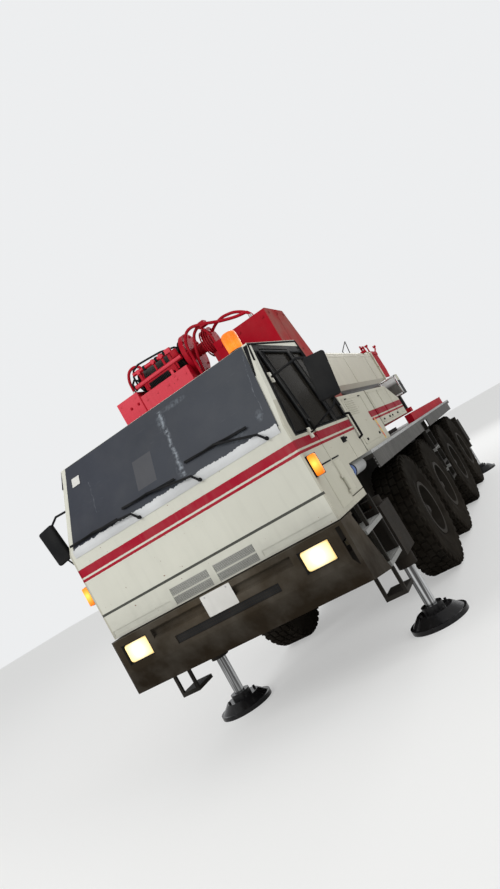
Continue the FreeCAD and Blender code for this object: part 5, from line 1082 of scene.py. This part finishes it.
tyre_form, nut_form = fresh(2)
lathe(tyre_form, CARCASS + [(-x, radius) for x, radius in reversed(CARCASS)], (0, 0, 0), steps=80, closed=True)
for x, stagger in TREAD_ROWS:
    outer = abs(x) > 0.1
    for step in range(TREAD_COUNT):
        turn = (step + stagger + (0.12 if outer else -0.06)) * 2 * math.pi / TREAD_COUNT
        stamp(tyre_form, (x - TREAD_HALF, -0.046, 0.716), (x + TREAD_HALF, 0.046, 0.7432), 0.005, turn)
        if outer:
            edge = math.copysign(0.186, x)
            stamp(tyre_form, (edge - 0.017, -0.034, 0.655), (edge + 0.016, 0.034, 0.726), 0.006, turn)
for spot in circle((0.060, 0, 0), 0.205, 10):
    bolt(nut_form, spot, (1, 0, 0), 0.018, 0.026)
    bar(nut_form, spot, spot + Vector((0.038, 0, 0)), 0.009, sides=10)
for spot in circle((0.130, 0, 0), 0.083, 8, 0.5):
    bolt(nut_form, spot, (1, 0, 0), 0.010, 0.010)
lathe(nut_form, ((0.0, 0.062), (0.016, 0.058), (0.030, 0.044), (0.034, 0.0)), (0.130, 0, 0), steps=32)

for number, distance in enumerate(AXLES, 1):
    for side, sign in SIDES:
        spin_round = Matrix.Rotation(0.0 if sign > 0 else math.pi, 4, "Z") @ Matrix.Rotation(0.37 * number, 4, "X")
        stand = Matrix.Translation(at(sign * TYRE_MIDDLE, distance, AXLE_HIGH)) @ spin_round
        place = "%d_%s" % (number, side)
        for form, name, finish_used, slot, hides in (
                (tyre_form, "treaded_tyre_", rubber, "tyre", ("tyre_" + place,)),
                (nut_form, "wheel_nuts_", cast_iron, "rim_paint", ())):
            copied = form.copy()
            bmesh.ops.transform(copied, matrix=stand, verts=copied.verts)
            piece(name + place, copied, finish_used, "wheel_" + place, hides, 30)
print("tyres: 8, tread blocks on each:", TREAD_COUNT * 6)

# %% [markdown]
# ## Rope on the winch drum
# The hoist rope lies in neat turns between the drum's flanges. A profile with one small
# arc for each turn is spun about the drum's axis, which gives the look of every turn
# lying in the one below it.

# %% Rope windings
WINCH_AXIS = (2.520, 3.830)
ROPE, FIRST_TURN, LAST_TURN, WOUND, CORE = 0.019, -0.872, -0.238, 0.196, 0.171
turns = int((LAST_TURN - FIRST_TURN) / ROPE)
windings = bmesh.new()
wound_line = [(FIRST_TURN, CORE)]
for turn in range(turns):
    for bend in (math.pi * step / 5 for step in range(6)):
        wound_line.append((FIRST_TURN + ROPE * (turn + 0.5 - 0.48 * math.cos(bend)),
                           WOUND + 0.5 * ROPE * math.sin(bend)))
wound_line.append((LAST_TURN, CORE))
lathe(windings, wound_line, at(0, *WINCH_AXIS), steps=56, closed=True)
piece("rope_windings", windings, rope_steel, "winch_drum", angle=70)
print("turns of rope:", turns)

# %% [markdown]
# ## Fittings on the air tank and the boom
# Small things tell how large a crane is. The air tank has a blue ring and a black cap,
# and the boom has a bracket with two thin poles on its top plate, bolts at its mouth and
# plate seams along its side.

# %% Air tank and boom fittings
TANK_X, TANK_Z, TANK_RADIUS = 1.120, 1.658, 0.0725


def tank_band(shape, distance, width, radius):
    """A band round the air tank."""
    profile = ((0.0, TANK_RADIUS), (0.0, radius), (width, radius), (width, TANK_RADIUS))
    lathe(shape, profile, at(TANK_X, distance, TANK_Z), "Y", 40, closed=True)


tank_ring, tank_cap, bracket, poles, head_arms, boom_seams = fresh(6)
tank_band(tank_ring, 1.275, 0.070, 0.0790)
blue_band = finish("blue_band", (0.03, 0.10, 0.34), rough=0.4, mottle=0.05, streaks=0.05, mud=0.2, mud_top=1.9)
piece("tank_ring", tank_ring, blue_band, "root")
lathe(tank_cap, ((0.004, 0.0), (0.004, 0.046), (-0.012, 0.048), (-0.022, 0.040), (-0.026, 0.0)),
      at(TANK_X, 1.070, TANK_Z), "Y", 32)
tank_band(tank_cap, 1.352, 0.045, 0.0775)
trim("tank_cap", tank_cap)

slab(bracket, (0.355, 0.470), (9.490, 9.640), (3.500, 3.545), 0.004)
slab(bracket, (0.395, 0.415), (9.500, 9.630), (3.530, 3.670), 0.004)
slab(bracket, (0.445, 0.465), (9.500, 9.630), (3.530, 3.640), 0.004)
bar(bracket, at(0.385, 9.565, 3.610), at(0.475, 9.565, 3.610), 0.020)
piece("boom_top_bracket", bracket, red_paint, "boom_base")
pipe(poles, (at(0.340, 8.000, 3.500), at(0.340, 8.030, 3.580), at(0.380, 8.540, 3.790)), 0.009, 10)
pipe(poles, (at(0.340, 8.560, 3.500), at(0.360, 8.550, 3.640), at(0.380, 8.540, 3.790)), 0.009, 10)
piece("boom_top_poles", poles, dark_steel, "boom_base")

for sign in (1, -1):
    x = sign * 0.386
    slab(head_arms, (sign * 0.372, sign * 0.400), (10.300, 11.180), (3.470, 3.560), 0.010)
    pipe(head_arms, (at(x, 10.420, 3.550), at(x, 10.400, 3.700)), 0.016)
    pipe(head_arms, (at(x, 11.080, 3.550), at(x, 11.330, 3.640), at(x, 11.360, 3.700)), 0.018)
    for distance, radius in ((11.355, 0.026), (10.400, 0.024)):
        bar(head_arms, at(sign * 0.350, distance, 3.700), at(sign * 0.420, distance, 3.700), radius)
    for distance in (3.420, 5.300, 7.400, 9.300):
        slab(boom_seams, (sign * 0.4195, sign * 0.4235), (distance, distance + 0.055), (2.855, 3.470), 0.0015)
    slab(boom_seams, (sign * 0.4195, sign * 0.4240), (2.830, 9.950), (3.405, 3.425), 0.0015)
    bolts(boom_seams, (sign * 0.445,), (10.085, 10.115, 10.145, 10.175), (2.900, 3.130, 3.360), (sign, 0, 0),
          0.011, 0.009)
piece("boom_head_arms", head_arms, red_paint, "boom_tip")
piece("boom_seams", boom_seams, boom_white, "boom_base")
print("fittings on the tank and the boom")

# %% [markdown]
# ## Tail plates and bolts
# The tail is welded from plates and bolted to its frame. Rows of bolts and thin raised
# seams show that, and the tank in it has a round filler cap on top.

# %% Tail plates and bolts
tail_bolts, tail_seams = fresh(2)
bolts(tail_bolts, (-1.120, -1.000, 0.330, 0.600, 0.930), (2.199,), (3.180, 3.640), (0, -1, 0), 0.014, 0.012)
bolts(tail_bolts, (0.999,), (2.270, 2.560, 2.800), (3.180, 3.660), (1, 0, 0), 0.014, 0.012)
bolts(tail_bolts, (-1.060, 0.570), (2.420,), (3.719,), (0, 0, 1), 0.030, 0.018)
piece("tail_bolts", tail_bolts, tail_red, "superstructure")
slab(tail_seams, (0.255, 0.995), (2.1965, 2.2005), (3.100, 3.112), 0.001)
slab(tail_seams, (0.560, 0.572), (2.1965, 2.2005), (3.112, 3.715), 0.001)
slab(tail_seams, (0.9995, 1.0035), (2.530, 2.542), (2.500, 3.715), 0.001)
bar(tail_seams, at(0.760, 2.560, 3.718), at(0.760, 2.560, 3.742), 0.062, 0.056, sides=32)
bar(tail_seams, at(0.760, 2.560, 3.740), at(0.760, 2.560, 3.760), 0.030, 0.026, sides=6)
piece("tank_seams_and_filler", tail_seams, tail_red, "superstructure")
print("bolts and seams on the tail")

# %% [markdown]
# ## Winch guard and motor
# A second pipe with brackets and clamps lies above the guard pipe, with a dark rack and
# thin steel lines round it. The hydraulic motor has a bolted cover and cooling fins, and
# the hoses go in through screwed fittings.

# %% Winch details
GUARD_CLAMPS = ((-0.800, 0.018), (-0.560, 0.012), (-0.430, 0.016), (-0.330, 0.022), (-0.290, 0.012))
LONG_LINE = ((-0.880, 2.300, 3.730), (-0.905, 2.250, 3.860), (-0.895, 2.232, 3.960), (-0.850, 2.226, 4.030),
             (-0.760, 2.230, 4.060), (-0.620, 2.240, 4.050), (-0.420, 2.250, 4.030), (-0.250, 2.300, 3.990),
             (-0.190, 2.380, 3.930))
SHORT_LINE = ((-0.960, 2.260, 3.800), (-0.955, 2.225, 3.890), (-0.905, 2.220, 3.925), (-0.860, 2.225, 3.890),
              (-0.850, 2.230, 3.760))
HOSE_ENDS = ((-0.100, 2.300, 3.100), (-0.092, 2.365, 3.100), (0.790, 2.300, 3.720), (0.745, 2.530, 3.720),
             (-1.050, 2.350, 3.784))
winch_bits, dark_bits, locker_box, hose_ends = fresh(4)
slab(winch_bits, (-0.915, -0.195), (2.194, 2.202), (3.500, 3.512), 0.002)
bolts(winch_bits, (-0.870, -0.700, -0.520, -0.380, -0.240), (2.199,), (3.620,), (0, -1, 0), 0.010, 0.008)
lathe(winch_bits, ((0.0, 0.0), (0.0, 0.130), (-0.012, 0.130), (-0.018, 0.124), (-0.018, 0.0)),
      at(-0.180, *WINCH_AXIS))
for spot in circle(at(-0.119, *WINCH_AXIS), 0.245, 10):
    bolt(winch_bits, spot, (1, 0, 0), 0.013, 0.011)
for x in (0.072 + step * 0.028 for step in range(5)):
    lathe(winch_bits, ((x - 0.004, 0.150), (x - 0.004, 0.176), (x + 0.004, 0.176), (x + 0.004, 0.150)),
          at(0, *WINCH_AXIS), steps=40, closed=True)
bar(winch_bits, at(-0.880, 2.228, 3.985), at(-0.285, 2.228, 3.968), 0.026)
for x, half in GUARD_CLAMPS:
    slab(winch_bits, (x - half, x + half), (2.218, 2.236), (3.720, 3.990), 0.004)
    slab(winch_bits, (x - half - 0.008, x + half + 0.008), (2.200, 2.246), (3.945, 4.008), 0.008)
slab(winch_bits, (-0.300, -0.212), (2.205, 2.250), (3.860, 3.955), 0.010)
slab(winch_bits, (-0.412, -0.372), (2.196, 2.228), (3.655, 3.760), 0.006)
piece("winch_ribs_and_bolts", winch_bits, winch_red, "superstructure")

for x in (-0.735 + step * 0.021 for step in range(15)):
    slab(dark_bits, (x, x + 0.012), (2.190, 2.232), (3.705, 3.778), 0.003, 1)
slab(dark_bits, (-0.745, -0.420), (2.212, 2.226), (3.695, 3.712), 0.002)
for x in (-0.700, -0.500, -0.370):
    bar(dark_bits, at(x - 0.016, 2.228, 3.979), at(x + 0.016, 2.228, 3.977), 0.032)
for line in (LONG_LINE, SHORT_LINE):
    pipe(dark_bits, [at(*spot) for spot in line], 0.0125)
trim("winch_rack_and_lines", dark_bits, "superstructure")
slab(locker_box, (-1.290, -0.948), (2.1965, 2.700), (3.470, 3.785), 0.008, 3)
bolts(locker_box, (-1.240, -1.000), (2.1970,), (3.730,), (0, -1, 0), 0.010, 0.006)
piece("locker_box", locker_box, winch_red, "superstructure")
for x, distance, low in HOSE_ENDS:
    bar(hose_ends, at(x, distance, low), at(x, distance, low + 0.022), 0.030, sides=6)
    bar(hose_ends, at(x, distance, low + 0.022), at(x, distance, low + 0.055), 0.0235, sides=24)
piece("hose_fittings", hose_ends, zinc, "superstructure")
print("winch details ready")

# %% [markdown]
# ## Work lamp
# The square work lamp behind the left housing has a chromed bezel round a pale lens,
# whose lower part shows the dark inside of the lamp.

# %% Work lamp
lamp_bezel, lamp_face = fresh(2)
rim(lamp_bezel, (0.953, 1.247), (6.140, 6.158), (2.203, 2.547), (0.030, 0.030), 0.006, 3)
piece("work_lamp_bezel", lamp_bezel, chrome, "superstructure")
slab(lamp_face, (0.980, 1.220), (6.142, 6.152), (2.230, 2.520), 0.003)
work_lens = finish("work_lamp_lens", (0.62, 0.63, 0.62), rough=0.15, mottle=0.04, streaks=0.05, mud=0.0,
                   grain=0.0008, grain_size=0.01, pattern=dark_below(2.40, 2.46, (0.075, 0.075, 0.070)))
piece("work_lamp_lens", lamp_face, work_lens, "superstructure")
print("work lamp")

# %% [markdown]
# ## Housing and engine cover
# The housing and the engine cover are sheet steel with doors, so each gets raised door
# frames and latches. The cover also has louvres and ribs, and a strip of yellow and red
# warning tape behind it.

# %% Housing and engine cover details


def side_panel(shape, sign, distances, heights):
    """A raised frame round a door in a flat side wall."""
    rim(shape, (sign * 1.2495, sign * 1.254), distances, heights, (0.012, 0.012), 0.0012, 1, run=1)


def warning_bands(tree, parts, spot, paint):
    """Yellow and red bands on the slant, as on warning tape."""
    slant = plus(tree, parts.outputs["Z"], times(tree, parts.outputs["Y"], 0.9))
    return blend(tree, above(tree, calc(tree, "FRACT", times(tree, slant, 9.0)), 0.5), paint, (0.58, 0.03, 0.03))


cover_parts, cover_dark, housing_parts, housing_dark, tape = fresh(5)
for sign in (1, -1):
    side_panel(cover_parts, sign, (2.060, 3.020), (1.800, 2.360))
    for high in (2.160 + step * 0.026 for step in range(7)):
        slab(cover_parts, (sign * 1.2495, sign * 1.2575), (2.140, 2.560), (high, high + 0.012), 0.004)
    for distance in (2.200, 2.880):
        slab(cover_dark, (sign * 1.250, sign * 1.260), (distance, distance + 0.050), (1.830, 1.858), 0.003)
        bar(cover_dark, at(sign * 1.256, distance - 0.01, 2.352), at(sign * 1.256, distance + 0.07, 2.352), 0.007)
    slab(cover_dark, (sign * 1.2502, sign * 1.2507), (1.952, 1.962), (1.735, 2.395))
    far = 4.690 if sign < 0 else 4.740
    side_panel(housing_parts, sign, (3.480, 4.080), (1.930, 2.370))
    side_panel(housing_parts, sign, (4.100, far), (1.930, 2.370))
    for distance in (3.560, 3.960, 4.180, far - 0.140):
        slab(housing_dark, (sign * 1.250, sign * 1.260), (distance, distance + 0.050), (1.952, 1.978), 0.003)
    slab(tape, (sign * 1.2495, sign * 1.2515), (3.050, 3.115), (1.750, 2.040), 0.0005, 1)
for x in (-0.900 + step * 0.16 for step in range(12)):
    bar(cover_dark, at(x, 2.250, 2.401), at(x, 2.650, 2.401), 0.009, sides=8)
piece("cover_doors", cover_parts, white_striped, "root")
trim("cover_latches", cover_dark)
piece("housing_doors", housing_parts, white_striped, "superstructure")
trim("housing_latches", housing_dark, "superstructure")
tape_finish = finish("warning_tape", (0.70, 0.52, 0.05), mottle=0.06, mud=0.35, mud_top=2.1, pattern=warning_bands)
piece("warning_tape", tape, tape_finish, "root")
print("doors, louvres, latches and tape")

# %% [markdown]
# ## Steps, deck edge and rear lamps
# The step treads have raised teeth against slipping, the deck's edge is bolted down, and
# the rear carries two clusters of lamps under the deck's lip.

# %% Steps, deck and rear
TOOTH_PITCH = 0.032
teeth, deck_bolts, rear_cases, rear_reds, rear_ambers = fresh(5)
for sign in (1, -1):
    for top, first, last in ((1.190, 0.372, 1.012), (0.840, 0.527, 1.012)):
        count = int((last - first) / TOOTH_PITCH)
        for middle in (first + (step + 0.5) * (last - first) / count for step in range(count)):
            slab(teeth, (sign * 1.070, sign * 1.265), (middle - 0.006, middle + 0.006), (top - 0.001, top + 0.009),
                 0.002, 1)
    bolts(deck_bolts, (sign * 1.2995,), [1.960 + step * 0.288 for step in range(30)], (1.705,), (sign, 0, 0),
          0.009, 0.0045)
    slab(rear_cases, (sign * 0.760, sign * 1.200), (10.400, 10.438), (1.530, 1.657), 0.008)
    slab(rear_reds, (sign * 0.775, sign * 0.965), (10.432, 10.449), (1.545, 1.643), 0.006, 3)
    slab(rear_ambers, (sign * 0.985, sign * 1.185), (10.432, 10.449), (1.545, 1.643), 0.006, 3)
piece("step_teeth", teeth, tooth_steel, "root")
piece("deck_edge_bolts", deck_bolts, zinc, "root")
trim("rear_lamp_cases", rear_cases)
piece("rear_red_lenses", rear_reds, red_lens, "root")
amber_unlit = finish("amber_lens", (0.62, 0.20, 0.02), rough=0.18, mottle=0.05, streaks=0.05, mud=0.3, mud_top=1.7)
piece("rear_amber_lenses", rear_ambers, amber_unlit, "root")
print("steps, deck edge and rear lamps ready")

# %% [markdown]
# ## The operator's cab
# The operator's cab has black rubbers round its panes, and an upright handle on the
# sliding door.

# %% Operator's cab details
PANE_LOW, PANE_TOP = 2.450, 3.250


def pane_rubber(shape, x, near, far, radius):
    """A rubber round an upright pane between two distances."""
    corners = ((near, PANE_LOW), (far, PANE_LOW), (far, PANE_TOP), (near, PANE_TOP))
    pipe(shape, [at(x, *corner) for corner in corners], radius, 10, closed=True)


cab_rubbers, door_trim = fresh(2)
pane_rubber(cab_rubbers, -1.2445, 4.940, 5.660, 0.008)
trim("operator_window_rubbers", cab_rubbers, "superstructure")
pipe(door_trim, [at(x, 5.800, high) for x, high in (
    (-1.284, 2.420), (-1.320, 2.430), (-1.320, 2.670), (-1.284, 2.680))], 0.011)
pane_rubber(door_trim, -1.286, 5.840, 6.310, 0.009)
trim("operator_door_trim", door_trim, "operator_door")
print("operator's cab details ready")
